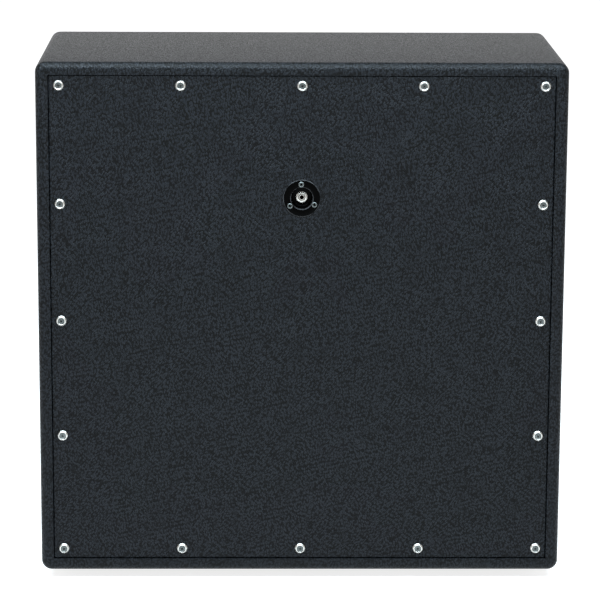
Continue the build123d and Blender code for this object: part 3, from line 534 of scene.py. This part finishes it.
CARRIED_OVER: dict[Finish, tuple[str, ...]] = {
    Wood("plywood", (0.62, 0.43, 0.25), 0.62): (
        "top_wall", "bottom_wall", "left_wall", "right_wall", "back_panel", "baffle_board",
    ),
    Wood("softwood", (0.70, 0.52, 0.30), 0.6, grain=Along.X, rings=45.0): (
        "back_cleats", "front_cleats", "centre_post", "grille_frame",
    ),
    PIPING: ("piping",),
    RUBBER: ("rubber_feet",),
    HANDLE: ("left_handle_dish", "right_handle_dish", "left_handle_grip", "right_handle_grip"),
    ZINC: ("foot_screws", "handle_rods", "tee_nuts", "motor_steel"),
    BLACK_STEEL: ("handle_screws", "driver_bolts", "baffle_screws"),
    NICKEL: ("jack_frame",),
    Fibre("hook_and_loop", (0.02, 0.02, 0.021), 0.9, fibre=700.0, depth=0.25 * MM): ("grille_pads",),
    Moulded("phenolic", (0.09, 0.035, 0.012), 0.38, grain=900.0, depth=0.02 * MM): ("jack_insulator",),
    Metal("spring_brass", (0.78, 0.58, 0.28), 0.24, brushed=Along.Y): ("jack_tip_contact", "jack_tip_lug"),
    Moulded("basket_paint", (0.05, 0.052, 0.055), 0.4, grain=700.0, depth=0.05 * MM): of_drivers("basket"),
    Fibre("cone_paper", (0.045, 0.042, 0.04), 0.78, depth=0.12 * MM): of_drivers("cone"),
    Fibre("cap_paper", (0.03, 0.028, 0.027), 0.7): of_drivers("dust_cap"),
    Metal("coil_copper", (0.80, 0.40, 0.22), 0.3, brushed=Along.Y): of_drivers("voice_coil"),
    Moulded("ferrite", (0.035, 0.035, 0.037), 0.55, grain=500.0, depth=0.05 * MM): ("magnets",),
    Fibre("doped_cloth", (0.028, 0.027, 0.026), 0.6): ("surrounds",),
    Fibre("spider_cloth", (0.48, 0.33, 0.12), 0.75, fibre=1400.0): ("spiders",),
    Fibre("gasket_card", (0.12, 0.10, 0.08), 0.85): ("driver_gaskets",),
    Metal("tinned_brass", (0.76, 0.74, 0.68), 0.32): ("driver_terminals",),
    Moulded("lead_plastic", (0.012, 0.012, 0.012), 0.4, grain=900.0): ("speaker_leads",),
    Moulded("clip_plastic", (0.30, 0.29, 0.26), 0.45, grain=900.0): ("lead_clips",),
}


# Modelling by hand

def deselect() -> None:
    """Leave edit mode and let go of everything."""
    if bpy.context.object is not None and bpy.context.object.mode != "OBJECT":
        bpy.ops.object.mode_set(mode="OBJECT")
    bpy.ops.object.select_all(action="DESELECT")


def take(*pieces: Piece) -> None:
    """Select these pieces alone, the first of them active."""
    deselect()
    for piece in pieces:
        piece.select_set(True)
    bpy.context.view_layer.objects.active = pieces[0]


def named(name: str) -> Piece:
    """Name the primitive that was just added and put its place into its mesh."""
    piece = bpy.context.object
    piece.name = name
    piece.data.name = name
    bpy.ops.object.transform_apply(location=True, rotation=True, scale=True)
    return piece


def block(name: str, low: Vector, high: Vector) -> Piece:
    """A box between two corners.

    Args:
        name: The piece's name.
        low: Its lowest corner.
        high: Its highest corner.

    Returns:
        The new piece.
    """
    deselect()
    bpy.ops.mesh.primitive_cube_add(size=1.0, location=(low + high) / 2, scale=high - low)
    return named(name)


def about(half: Point, centre: Vector = CENTRE) -> tuple[Vector, Vector]:
    """The corners of a box from its half sizes."""
    return centre - Vector(half), centre + Vector(half)


def pick_edges(piece: Piece, test: Callable[[Vector, Vector], bool]) -> None:
    """Go into edit mode with only the edges selected that pass a test.

    Args:
        piece: The piece to work on.
        test: Says yes or no to an edge's two ends.
    """
    take(piece)
    bpy.ops.object.mode_set(mode="EDIT")
    bpy.ops.mesh.select_mode(type="EDGE")
    bpy.ops.mesh.select_all(action="DESELECT")
    shape = bmesh.from_edit_mesh(piece.data)
    for edge in shape.edges:
        if test(edge.verts[0].co, edge.verts[1].co):
            edge.select_set(True)
    bmesh.update_edit_mesh(piece.data)


def round_edges(piece: Piece, radius: float, steps: int, test: Callable[[Vector, Vector], bool]) -> None:
    """Round the edges that pass a test.

    Args:
        piece: The piece to work on.
        radius: The rounding's radius in metres.
        steps: Flat strips in the rounding.
        test: Says yes or no to an edge's two ends.
    """
    pick_edges(piece, test)
    bpy.ops.mesh.bevel(offset=radius, offset_type="OFFSET", segments=steps, profile=0.5, affect="EDGES")
    deselect()


def same(first: float, second: float) -> bool:
    """Whether two places are the same within a hundredth of a millimetre."""
    return abs(first - second) < POLE


def clean(piece: Piece) -> None:
    """Merge doubles and turn all faces outwards."""
    take(piece)
    bpy.ops.object.mode_set(mode="EDIT")
    bpy.ops.mesh.select_all(action="SELECT")
    bpy.ops.mesh.remove_doubles(threshold=2.5 * POLE)
    bpy.ops.mesh.normals_make_consistent(inside=False)
    deselect()


def lathe(name: str, outline: Outline, steps: int) -> Piece:
    """Turn a piece about the Y axis by extruding and scaling a ring.

    Args:
        name: The piece's name.
        outline: Radius and depth of each point in millimetres. A radius of 0 closes the piece
            there, and an outline that ends where it starts makes a ring.
        steps: Flat strips round the piece.

    Returns:
        The new piece, about the origin.
    """
    rings = [(max(radius * MM, POLE), depth * MM) for radius, depth in outline]
    radius, depth = rings[0]
    deselect()
    bpy.ops.mesh.primitive_circle_add(
        vertices=steps, radius=radius, location=(0.0, depth, 0.0), rotation=(pi / 2, 0.0, 0.0),
    )
    piece = named(name)
    bpy.ops.object.mode_set(mode="EDIT")
    bpy.ops.mesh.select_all(action="SELECT")
    for next_radius, next_depth in rings[1:]:
        move = {"value": (0.0, next_depth - depth, 0.0)}
        bpy.ops.mesh.extrude_region_move(TRANSFORM_OT_translate=move)
        share = next_radius / radius
        bpy.ops.transform.resize(value=(share, 1.0, share), center_override=(0.0, next_depth, 0.0))
        radius, depth = next_radius, next_depth
    clean(piece)
    return piece


def modify(piece: Piece, kind: str, **settings: object) -> None:
    """Put a modifier on a piece and apply it.

    Args:
        piece: The piece to work on.
        kind: Blender's name of the modifier.
        settings: The modifier's properties.
    """
    take(piece)
    modifier = piece.modifiers.new(kind.lower(), kind)
    for key, value in settings.items():
        setattr(modifier, key, value)
    bpy.ops.object.modifier_apply(modifier=modifier.name)


def combine(piece: Piece, tool: Piece, how: Cut = Cut.TAKE_AWAY) -> None:
    """Change a solid by another one, which is used up.

    Args:
        piece: The solid to change.
        tool: The solid that changes it.
        how: What it does.
    """
    modify(piece, "BOOLEAN", object=tool, operation=how.value, solver="EXACT")
    bpy.data.objects.remove(tool)


def soften(piece: Piece, radius: float, steps: int = 2, angle: float = 30.0) -> None:
    """Round all edges that are sharper than an angle, in millimetres and degrees."""
    modify(
        piece, "BEVEL", width=radius * MM, segments=steps, limit_method="ANGLE", angle_limit=radians(angle),
        harden_normals=False,
    )


def smooth(piece: Piece, angle: float = 32.0) -> None:
    """Shade smoothly across edges that are blunter than an angle in degrees."""
    take(piece)
    bpy.ops.object.shade_smooth_by_angle(angle=radians(angle))


def join(pieces: Sequence[Piece], name: str) -> Piece:
    """Make one piece of several."""
    take(*pieces)
    if len(pieces) > 1:
        bpy.ops.object.join()
    joined = bpy.context.object
    joined.name = name
    joined.data.name = name
    return joined


def copies(
    master: Piece, name: str, places: Sequence[Point], turns: Sequence[float],
) -> Piece:
    """Copy a piece that was modelled about the origin to all its places.

    Args:
        master: The piece to copy, which is used up.
        name: The name of the joined copies.
        places: Where the origin of each copy goes.
        turns: How far each is turned about Y, in degrees.

    Returns:
        The joined copies.
    """
    made = []
    for place, turn in zip(places, turns):
        take(master)
        bpy.ops.object.duplicate(linked=False)
        copy = bpy.context.object
        copy.rotation_euler = (0.0, radians(turn), 0.0)
        copy.location = place
        bpy.ops.object.transform_apply(location=True, rotation=True, scale=True)
        made.append(copy)
    bpy.data.objects.remove(master)
    return join(made, name)


def hand_over(piece: Piece, finish: Finish, *nodes: str) -> Piece:
    """Dress a finished piece, let it ride on the cabinet and stand for its CAD nodes.

    Args:
        piece: The finished piece.
        finish: Its finish.
        nodes: The CAD nodes that it stands for.

    Returns:
        The same piece.
    """
    piece.data.materials.clear()
    piece.data.materials.append(finish.material())
    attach(piece, BODY)
    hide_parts(*nodes)
    LOG.info("%s: %d faces", piece.name, len(piece.data.polygons))
    return piece


# The cabinet's own pieces

@dataclass
class Case:
    """Vinyl over the plywood walls, turned in round both rims. Sizes in millimetres.

    Attributes:
        width: Outer width.
        depth: Outer depth.
        height: Outer height without the feet.
        cover: Thickness of the vinyl.
        long_radius: Rounding of the four long edges.
        rim_radius: Rounding of the front and back rims.
        opening: Half width and half height of the opening inside the turned-in vinyl.
        turned_in: How deep the vinyl is turned in, as the Y it reaches at the front and back.
        lip: Rounding where it turns in.
        handle_half: Half length and half height of a handle's hole.
        handle_corner: Rounding of that hole's corners.
        handle_rise: Height of a handle over the case's middle.
        handle_reach: How far the hole's cutter reaches in and out.
    """

    width: float = 770.0
    depth: float = 365.0
    height: float = 762.0
    cover: float = COVER
    long_radius: float = 15.0
    rim_radius: float = 10.0
    opening: tuple[float, float] = (366.4, 362.4)
    turned_in: tuple[float, float] = (-160.5, VINYL_END)
    lip: float = 0.7
    handle_half: tuple[float, float] = (87.0, 50.0)
    handle_corner: float = 16.0
    handle_rise: float = 25.0
    handle_reach: float = 12.0

    def rounded(self, name: str, inset: float) -> Piece:
        """The case's outside, drawn in by an inset.

        Args:
            name: The piece's name.
            inset: How far it is drawn in, in millimetres.

        Returns:
            The rounded solid.
        """
        half = tuple((size / 2 - inset) * MM for size in (self.width, self.depth, self.height))
        body = block(name, *about(half))
        round_edges(body, (self.long_radius - inset) * MM, 7, lambda a, b: not same(a.y, b.y))

        def on_rim(a: Vector, b: Vector) -> bool:
            """Whether an edge lies on the front or back rim."""
            return same(abs(a.y), half[1]) and same(a.y, b.y)

        round_edges(body, (self.rim_radius - inset) * MM, 6, on_rim)
        return body

    def bore(self, name: str, grow: float, start: float, end: float) -> Piece:
        """A block through the opening.

        Args:
            name: The piece's name.
            grow: How much wider than the opening it is on each side.
            start: Its front end.
            end: Its back end.

        Returns:
            The block.
        """
        half_x, half_z = (self.opening[0] + grow) * MM, (self.opening[1] + grow) * MM
        low, high = Vector((-half_x, start * MM, -half_z)), Vector((half_x, end * MM, half_z))
        return block(name, CENTRE + low, CENTRE + high)

    def build(self) -> None:
        """Model the covering as a thin shell and dress it."""
        past = self.depth
        skin = self.rounded("case_vinyl", 0.0)
        combine(skin, self.bore("cutter", 0.0, -past, past))
        lip_x, lip_z, end = self.opening[0] * MM, self.opening[1] * MM, self.depth / 2 * MM

        def on_lip(a: Vector, b: Vector) -> bool:
            """Whether an edge lies where the vinyl turns in."""
            beside = same(abs(a.x), lip_x) and same(abs(b.x), lip_x)
            above = same(abs(a.z - CENTRE.z), lip_z) and same(abs(b.z - CENTRE.z), lip_z)
            return same(abs(a.y), end) and same(a.y, b.y) and (beside or above)

        round_edges(skin, self.lip * MM, 3, on_lip)
        walls = self.rounded("walls", self.cover)
        combine(walls, self.bore("cutter", self.cover, -past, past))
        combine(skin, walls)
        combine(skin, self.bore("cutter", self.cover, *self.turned_in))
        for side in (-1, 1):
            combine(skin, self.handle_hole(side))
        smooth(skin, 40.0)
        hand_over(skin, VINYL, "case_covering")

    def handle_hole(self, side: int) -> Piece:
        """The hole that a handle's pocket goes through."""
        centre = CENTRE + Vector((side * self.width / 2 * MM, 0.0, self.handle_rise * MM))
        sizes = (self.handle_reach, *self.handle_half)
        hole = block("cutter", *about(tuple(size * MM for size in sizes), centre))
        round_edges(hole, self.handle_corner * MM, 6, lambda a, b: not same(a.x, b.x))
        return hole


@dataclass
class Back:
    """The covered back panel with its screws in cup washers. Sizes in millimetres.

    Attributes:
        half: Half width and half height of the panel.
        face: Where its outer face lies.
        inside: Where its covering ends.
        edge_radius: Rounding of its edges.
        cover: Thickness of the vinyl.
        cell: Size of the face's mesh.
        screw_reach: How far from the middle the outermost screws are.
        per_side: Screws along each edge.
        dent: How deep a washer presses the vinyl in.
        dent_radius: How far that dent reaches.
        pocket_radius: The hole for the jack dish.
        pocket_span: Where the cutter of that hole starts and ends.
        turn_step: How much further than the last one each screw is turned, in degrees.
        wave: How deep the vinyl waves between the washers.
        waves: Those waves in a metre.
    """

    half: tuple[float, float] = (365.8, 361.8)
    face: float = PANEL_FACE
    inside: float = VINYL_END
    edge_radius: float = 1.8
    cover: float = COVER
    cell: float = 5.0
    screw_reach: tuple[float, float] = (351.2, 347.2)
    per_side: int = 5
    dent: float = 0.35
    dent_radius: float = 15.0
    pocket_radius: float = 19.0
    pocket_span: tuple[float, float] = (150.0, 200.0)
    turn_step: float = 37.0
    wave: float = 0.08
    waves: float = 9.0

    def spots(self) -> list[Point]:
        """Where the screws stand, in metres, in the order of the CAD's screws."""
        last = self.per_side - 1
        found = []
        for i in range(self.per_side):
            for j in range(self.per_side):
                if i in (0, last) or j in (0, last):
                    across = self.screw_reach[0] * (2 * i / last - 1)
                    up = self.screw_reach[1] * (2 * j / last - 1)
                    found.append((across * MM, self.face * MM, CENTRE.z + up * MM))
        return found

    def build(self) -> None:
        """Model the covering, the washers and the screws."""
        self.covering()
        spots = self.spots()
        washer = lathe("washer", CUP_OUTLINE, 64)
        soften(washer, 0.22, 2, 25.0)
        smooth(washer)
        washers = copies(washer, "cup_washer_rings", spots, [11.0 * i for i in range(len(spots))])
        hand_over(washers, NICKEL, "cup_washers")
        turns = [self.turn_step * i for i in range(len(spots))]
        screw = cross_screw("screw", SCREW_OUTLINE, 0.15, 4.6, 1.0)
        screws = copies(screw, "panel_screw_heads", spots, turns)
        hand_over(screws, SCREW_NICKEL, "back_panel_screws")

    def covering(self) -> None:
        """Model the panel's vinyl from a grid, rolled over its edges and pressed in under the washers."""
        places = (self.half, self.face, self.inside, self.edge_radius, self.cell)
        skin = rolled_sheet("back_panel_vinyl", *places)
        deselect()
        self.press(skin)
        clean(skin)
        modify(skin, "SOLIDIFY", thickness=self.cover * MM, offset=-1.0)
        start, end = self.pocket_span
        outline = ((0.0, start), (self.pocket_radius, start), (self.pocket_radius, end), (0.0, end))
        pocket = lathe("cutter", outline, 48)
        pocket.location = (0.0, 0.0, CENTRE.z + JACK_RISE * MM)
        combine(skin, pocket)
        smooth(skin, 40.0)
        hand_over(skin, VINYL, "back_panel_covering")

    def press(self, skin: Piece) -> None:
        """Dent the face under each washer, and let the rest of it wave a little."""
        spots = [Vector(spot) for spot in self.spots()]
        reach = self.dent_radius * MM
        for vertex in skin.data.vertices:
            if not same(vertex.co.y, self.face * MM):
                continue
            near = min((vertex.co - spot).length for spot in spots)
            share = max(0.0, 1.0 - near / reach)
            wave = noise.noise(vertex.co * self.waves) - 1.0
            vertex.co.y += (self.wave * wave - self.dent * share * share * (3 - 2 * share)) * MM


def rolled_sheet(
    name: str, half: tuple[float, float], face: float, end: float, radius: float, cell: float,
) -> Piece:
    """Lay a grid over a panel and roll its border over the panel's edges. It is left in edit mode.

    Args:
        name: The piece's name.
        half: Half width and half height over the rounding, in millimetres like all that follows.
        face: Where the sheet lies on Y. The sign says which way it looks.
        end: Where its sides end on Y.
        radius: The rounding's radius.
        cell: Size of the grid's cells.

    Returns:
        The sheet, with its border selected.
    """
    side = 1 if face > 0.0 else -1
    flat = [size - radius for size in half]
    deselect()
    bpy.ops.mesh.primitive_grid_add(
        x_subdivisions=round(2 * flat[0] / cell), y_subdivisions=round(2 * flat[1] / cell),
        size=1.0, location=(0.0, face * MM, CENTRE.z), rotation=(-side * pi / 2, 0.0, 0.0),
    )
    bpy.context.object.scale = (2 * flat[0] * MM, 2 * flat[1] * MM, 1.0)
    sheet = named(name)
    bpy.ops.object.mode_set(mode="EDIT")
    bpy.ops.mesh.select_all(action="SELECT")
    bpy.ops.mesh.region_to_loop()
    across, up, depth = *flat, face
    angles = [pi / 2 * i / ROLL_STEPS for i in range(1, ROLL_STEPS + 1)]
    places = [(radius * sin(angle), radius * (1 - cos(angle))) for angle in angles]
    for out, back in [*places, (radius, abs(end - face))]:
        next_depth = face - side * back
        move = {"value": (0.0, (next_depth - depth) * MM, 0.0)}
        bpy.ops.mesh.extrude_region_move(TRANSFORM_OT_translate=move)
        share = ((flat[0] + out) / across, 1.0, (flat[1] + out) / up)
        bpy.ops.transform.resize(value=share, center_override=(0.0, next_depth * MM, CENTRE.z))
        across, up, depth = flat[0] + out, flat[1] + out, next_depth
    return sheet


CUP_OUTLINE: Outline = (
    (2.5, 0.0), (7.6, 0.0), (7.8, 0.2), (7.75, 0.5), (7.1, 1.15), (6.45, 2.0), (6.0, 2.3), (5.4, 2.3),
    (4.75, 1.95), (2.5, 0.35), (2.5, 0.0),
)
SCREW_OUTLINE: Outline = (
    (0.0, 2.45), (1.2, 2.44), (2.4, 2.41), (3.6, 2.36), (4.5, 2.3), (4.6, 2.2), (4.45, 2.0), (2.1, -0.2),
    (2.1, -23.0), (0.0, -27.7),
)
PAN_OUTLINE: Outline = (
    (0.0, 0.8), (1.5, 0.78), (2.7, 0.68), (3.5, 0.46), (3.85, 0.2), (3.9, 0.0), (1.5, 0.0), (1.5, -9.0),
    (0.0, -12.0),
)
WASHER_OUTLINE: Outline = ((4.8, 0.0), (8.2, 0.0), (8.2, 0.8), (4.8, 0.8), (4.8, 0.0))
NUT_CHAMFER: Outline = ((0.0, -0.1), (8.6, -0.1), (8.6, 1.7), (6.7, 2.51), (0.0, 2.51))
NUT_BORE: Outline = ((0.0, -1.0), (4.8, -1.0), (4.8, 2.1), (5.3, 2.7), (0.0, 2.7))

# A cross recess: its depth, how far down it starts to taper, its taper, how many points of a screw's
# outline make its head, and how far below the head a face lies that counts as recess, in millimetres
RECESS_DEPTH = 1.9
TAPER_START = 1.0
TAPER = (0.35, 1.0, 0.55)
HEAD_POINTS = 5
RECESS_BELOW = 0.12
SCREW_NICKEL = Metal("bright_nickel", (0.115, 0.125, 0.12), 0.34, "screw_nickel", wear=0.08, tarnish=0.7)


def cross_screw(name: str, outline: Outline, rim: float, span: float, width: float) -> Piece:
    """A screw with a cross recess in its head, about the origin.

    Args:
        name: The piece's name.
        outline: Its turned outline in millimetres, from the middle of its head on.
        rim: How far the recess's top stands over the head, in millimetres.
        span: Length of the recess from end to end.
        width: Width of its wings.

    Returns:
        The screw.
    """
    screw = lathe(name, outline, 48)
    top = outline[0][1] + rim
    bottom, bend = top - RECESS_DEPTH, (top - TAPER_START) * MM
    for turn in (0.0, pi / 2):
        low, high = Vector((-span / 2, bottom, -width / 2)), Vector((span / 2, top, width / 2))
        wing = block("cutter", low * MM, high * MM)
        pick_edges(wing, lambda a, b: a.y < bend and b.y < bend)
        bpy.ops.transform.resize(value=TAPER, center_override=(0.0, bottom * MM, 0.0))
        deselect()
        wing.rotation_euler = (0.0, turn, 0.0)
        combine(screw, wing)
    soften(screw, 0.08, 2, 40.0)
    smooth(screw, 35.0)
    # Mark the faces of the cross recess, which the metal finish paints darker as shade.
    inside = screw.data.attributes.new(RECESS, "FLOAT", "FACE")
    for face, mark in zip(screw.data.polygons, inside.data):
        reach = (face.center.x ** 2 + face.center.z ** 2) ** 0.5
        within = reach < span / 2 * MM
        mark.value = float(within and 0.0 < face.center.y < head_at(outline, reach))
    return screw


def head_at(outline: Outline, reach: float) -> float:
    """The height below which a face of a screw's head counts as recess.

    Args:
        outline: The screw's outline in millimetres.
        reach: Distance from its axis in metres.

    Returns:
        The height in metres.
    """
    heights = [depth for radius, depth in outline[:HEAD_POINTS] if radius * MM >= reach]
    return (max(heights) - RECESS_BELOW) * MM


@dataclass
class JackDish:
    """The glossy round dish with its screws and the jack's nut and washer. Sizes in millimetres.

    Attributes:
        face: Where the panel's face lies.
        rise: Height of the jack over the panel's middle.
        screw_circle: Diameter of the circle on which its screws stand.
        turn: How far that circle is turned, in degrees.
        flange: Thickness of its flange.
        floor: Where the dish's floor lies.
        nut_flats: Width of the nut across its flats.
        nut_height: Height of the nut.
        outline: The dish's turned outline, from its floor's hole outwards and back.
    """

    face: float = PANEL_FACE
    rise: float = JACK_RISE
    screw_circle: float = 41.0
    turn: float = 2.7
    flange: float = 1.6
    floor: float = 167.6
    nut_flats: float = 13.5
    nut_height: float = 2.5
    outline: Outline = (
        (4.8, -12.4), (12.9, -12.4), (13.4, -12.2), (13.55, -11.7), (15.9, 0.3), (16.5, 1.25), (17.4, 1.6),
        (26.4, 1.6), (27.1, 1.25), (27.45, 0.7), (27.5, 0.0), (18.0, 0.0), (15.0, -13.9), (4.8, -13.9),
        (4.8, -12.4),
    )

    def place(self, depth: float, across: float = 0.0, up: float = 0.0) -> Point:
        """A place about the jack's axis, in metres."""
        return across * MM, depth * MM, CENTRE.z + (self.rise + up) * MM

    def build(self) -> None:
        """Model the dish, its screws, the washer and the nut."""
        dish = lathe("dish", self.outline, 128)
        soften(dish, 0.18, 2, 20.0)
        smooth(dish, 30.0)
        hand_over(copies(dish, "jack_dish_shell", [self.place(self.face)], [0.0]), DISH, "jack_dish")

        places = []
        for i in range(3):
            angle = radians(90.0 - self.turn + 120.0 * i)
            reach = self.screw_circle / 2
            places.append(self.place(self.face + self.flange, reach * cos(angle), reach * sin(angle)))
        screw = cross_screw("pan", PAN_OUTLINE, 0.1, 5.0, 2.2)
        screws = copies(screw, "dish_screw_heads", places, [37.0, 74.0, 111.0])
        hand_over(screws, SCREW_NICKEL, "jack_dish_screws")

        washer = lathe("ring", WASHER_OUTLINE, 64)
        soften(washer, 0.15)
        smooth(washer)
        hand_over(copies(washer, "jack_washer_ring", [self.place(self.floor)], [0.0]), NICKEL, "jack_washer")
        self.nut()

    def nut(self) -> None:
        """Model the hex nut with its turned chamfer."""
        deselect()
        bpy.ops.mesh.primitive_cylinder_add(
            vertices=6, radius=self.nut_flats / 2 / cos(pi / 6) * MM, depth=self.nut_height * MM,
            location=(0.0, self.nut_height / 2 * MM, 0.0), rotation=(pi / 2, 0.0, 0.0),
        )
        nut = named("hexagon")
        combine(nut, lathe("cutter", NUT_CHAMFER, 96), Cut.KEEP_COMMON)
        combine(nut, lathe("cutter", NUT_BORE, 64))
        soften(nut, 0.07, 2, 25.0)
        smooth(nut, 30.0)
        seat = self.place(self.floor + WASHER_OUTLINE[2][1])
        hand_over(copies(nut, "jack_hex_nut", [seat], [30.0]), NICKEL, "jack_nut")


@dataclass
class Grille:
    """Cloth stretched over the grille frame. Sizes in millimetres.

    Attributes:
        half: Half width and half height of the covered frame.
        face: Where the cloth's face lies.
        back: Where the cloth lies behind the frame.
        turn_in: How far it is turned in behind the frame.
        radius: Rounding of its edges.
        cloth: Its thickness.
        cell: Size of the face's mesh.
    """

    half: tuple[float, float] = (361.4, 357.4)
    face: float = -176.5
    back: float = -162.9
    turn_in: float = 22.0
    radius: float = 1.6
    cloth: float = 0.8
    cell: float = 9.0

    def build(self) -> None:
        """Model the cloth from a grid, rolled over the frame's edges and turned in behind it."""
        places = (self.half, self.face, self.back, self.radius, self.cell)
        cloth = rolled_sheet("stretched_grille_cloth", *places)
        bpy.ops.mesh.extrude_region_move(TRANSFORM_OT_translate={"value": (0.0, 0.0, 0.0)})
        across, up = (1.0 - self.turn_in / half for half in self.half)
        bpy.ops.transform.resize(value=(across, 1.0, up), center_override=(0.0, self.back * MM, CENTRE.z))
        deselect()
        clean(cloth)
        modify(cloth, "SOLIDIFY", thickness=self.cloth * MM, offset=-1.0)
        smooth(cloth, 50.0)
        hand_over(cloth, GRILLE, "grille_cloth")


def dress_frame() -> None:
    """Give every CAD node that stays a procedural material."""
    for finish, names in CARRIED_OVER.items():
        for name in names:
            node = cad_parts[name]
            for place in node.material_slots:
                place.material = finish.material()
        LOG.info("%s on %s", finish.slot, ", ".join(names))


# Studio

# Each softbox's name, place, width and height, and watts
SOFTBOXES: tuple[tuple[str, Point, tuple[float, float], float], ...] = (
    ("key_softbox", (0.7, 1.5, 2.3), (1.2, 0.7), 30.0),
    ("wide_softbox", (0.1, 0.95, 2.2), (3.2, 2.2), 190.0),
    ("low_softbox", (0.1, 1.75, 1.85), (3.0, 0.4), 55.0),
)


@dataclass
class Studio:
    """Plain pale floor, soft light and the photograph's camera. Sizes in metres.

    Attributes:
        position: The camera's place.
        bearing: How far it looks away from -Y, in degrees.
        tilt: How far it looks down, in degrees.
        roll: How far it is turned about its own axis, in degrees.
        lens: Focal length on a 36 mm sensor.
        floor_size: Side of the floor.
        floor_grey: The floor's own colour.
        floor_glow: The floor's own light, which keeps it white.
        tinge: Colour of the softboxes.
        sight: How far the camera sees.
        ceiling: How the room fades with height: two limits and the light at each.
        before: How the room fades towards +Y: two limits and the light at each.
    """

    position: Point = (0.0735, 4.3314, 1.3377)
    bearing: float = 0.987
    tilt: float = 12.36
    roll: float = 0.298
    lens: float = 174.36
    floor_size: float = 160.0
    floor_grey: float = 0.5
    floor_glow: float = 0.80
    tinge: Colour = (0.72, 0.88, 1.0)
    sight: float = 200.0
    ceiling: tuple[float, float, float, float] = (0.5, 0.8, 0.97, 0.1)
    before: tuple[float, float, float, float] = (0.5, 0.92, 1.0, 0.1)

    def build(self) -> None:
        """Set up everything round the object."""
        self.camera()
        self.floor()
        self.world()
        for softbox in SOFTBOXES:
            self.softbox(*softbox)
        bpy.context.scene.view_settings.view_transform = "Standard"

    def camera(self) -> None:
        """Place the camera as the photograph was taken."""
        data = bpy.data.cameras.new("photo_camera")
        data.sensor_width = 36.0
        data.lens = self.lens
        data.clip_end = self.sight
        camera = bpy.data.objects.new("photo_camera", data)
        bpy.context.scene.collection.objects.link(camera)
        bearing, tilt = radians(self.bearing), radians(self.tilt)
        aim = Vector((-sin(bearing) * cos(tilt), -cos(bearing) * cos(tilt), -sin(tilt)))
        camera.rotation_mode = "QUATERNION"
        camera.location = self.position
        roll = Quaternion((0.0, 0.0, 1.0), radians(self.roll))
        camera.rotation_quaternion = aim.to_track_quat("-Z", "Y") @ roll
        bpy.context.scene.camera = camera

    def floor(self) -> None:
        """Add the floor, which glows softly so that it stays plain white."""
        deselect()
        bpy.ops.mesh.primitive_plane_add(size=self.floor_size, location=(0.0, 0.0, 0.0))
        floor = named("studio_floor")
        board = Board("floor_paint")
        pale = (self.floor_grey,) * 3 + (1.0,)
        white = (1.0,) * 4
        board.shade(Base_Color=pale, Roughness=0.9, Emission_Color=white, Emission_Strength=self.floor_glow)
        floor.data.materials.append(board.material)

    def world(self) -> None:
        """Light the room: bright low walls, a dark ceiling, and darker towards +Y, before the back."""
        world = bpy.data.worlds.new("studio_room")
        world.use_nodes = True
        bpy.context.scene.world = world
        tree = world.node_tree
        axes = tree.nodes.new("ShaderNodeSeparateXYZ")
        tree.links.new(tree.nodes.new("ShaderNodeTexCoord").outputs["Generated"], axes.inputs[0])
        strength = tree.nodes.new("ShaderNodeMath")
        strength.operation = "MULTIPLY"
        for index, (axis, limits) in enumerate((("Z", self.ceiling), ("Y", self.before))):
            ramp = tree.nodes.new("ShaderNodeMapRange")
            ramp.interpolation_type = "SMOOTHSTEP"
            tree.links.new(axes.outputs[axis], ramp.inputs[0])
            for socket, value in zip(list(ramp.inputs)[1:5], limits):
                socket.default_value = value
            tree.links.new(ramp.outputs[0], strength.inputs[index])
        background = tree.nodes["Background"]
        background.inputs["Color"].default_value = (1.0, 1.0, 1.0, 1.0)
        tree.links.new(strength.outputs[0], background.inputs["Strength"])

    def softbox(self, name: str, place: Point, size: tuple[float, float], watts: float) -> None:
        """Hang a rectangular light that points at the cabinet.

        Args:
            name: The light's name.
            place: Where it hangs.
            size: Its width and height.
            watts: Its power.
        """
        data = bpy.data.lights.new(name, "AREA")
        data.shape = "RECTANGLE"
        data.size, data.size_y = size
        data.energy = watts
        data.color = self.tinge
        light = bpy.data.objects.new(name, data)
        bpy.context.scene.collection.objects.link(light)
        light.location = place
        light.rotation_mode = "QUATERNION"
        light.rotation_quaternion = (CENTRE - Vector(place)).to_track_quat("-Z", "Y")


def main() -> None:
    """Build the looks in order."""
    logging.basicConfig(level=logging.INFO, format="%(name)s: %(message)s")
    Studio().build()
    dress_frame()
    Case().build()
    Back().build()
    JackDish().build()
    Grille().build()
    deselect()


if __name__ == "__main__":
    main()
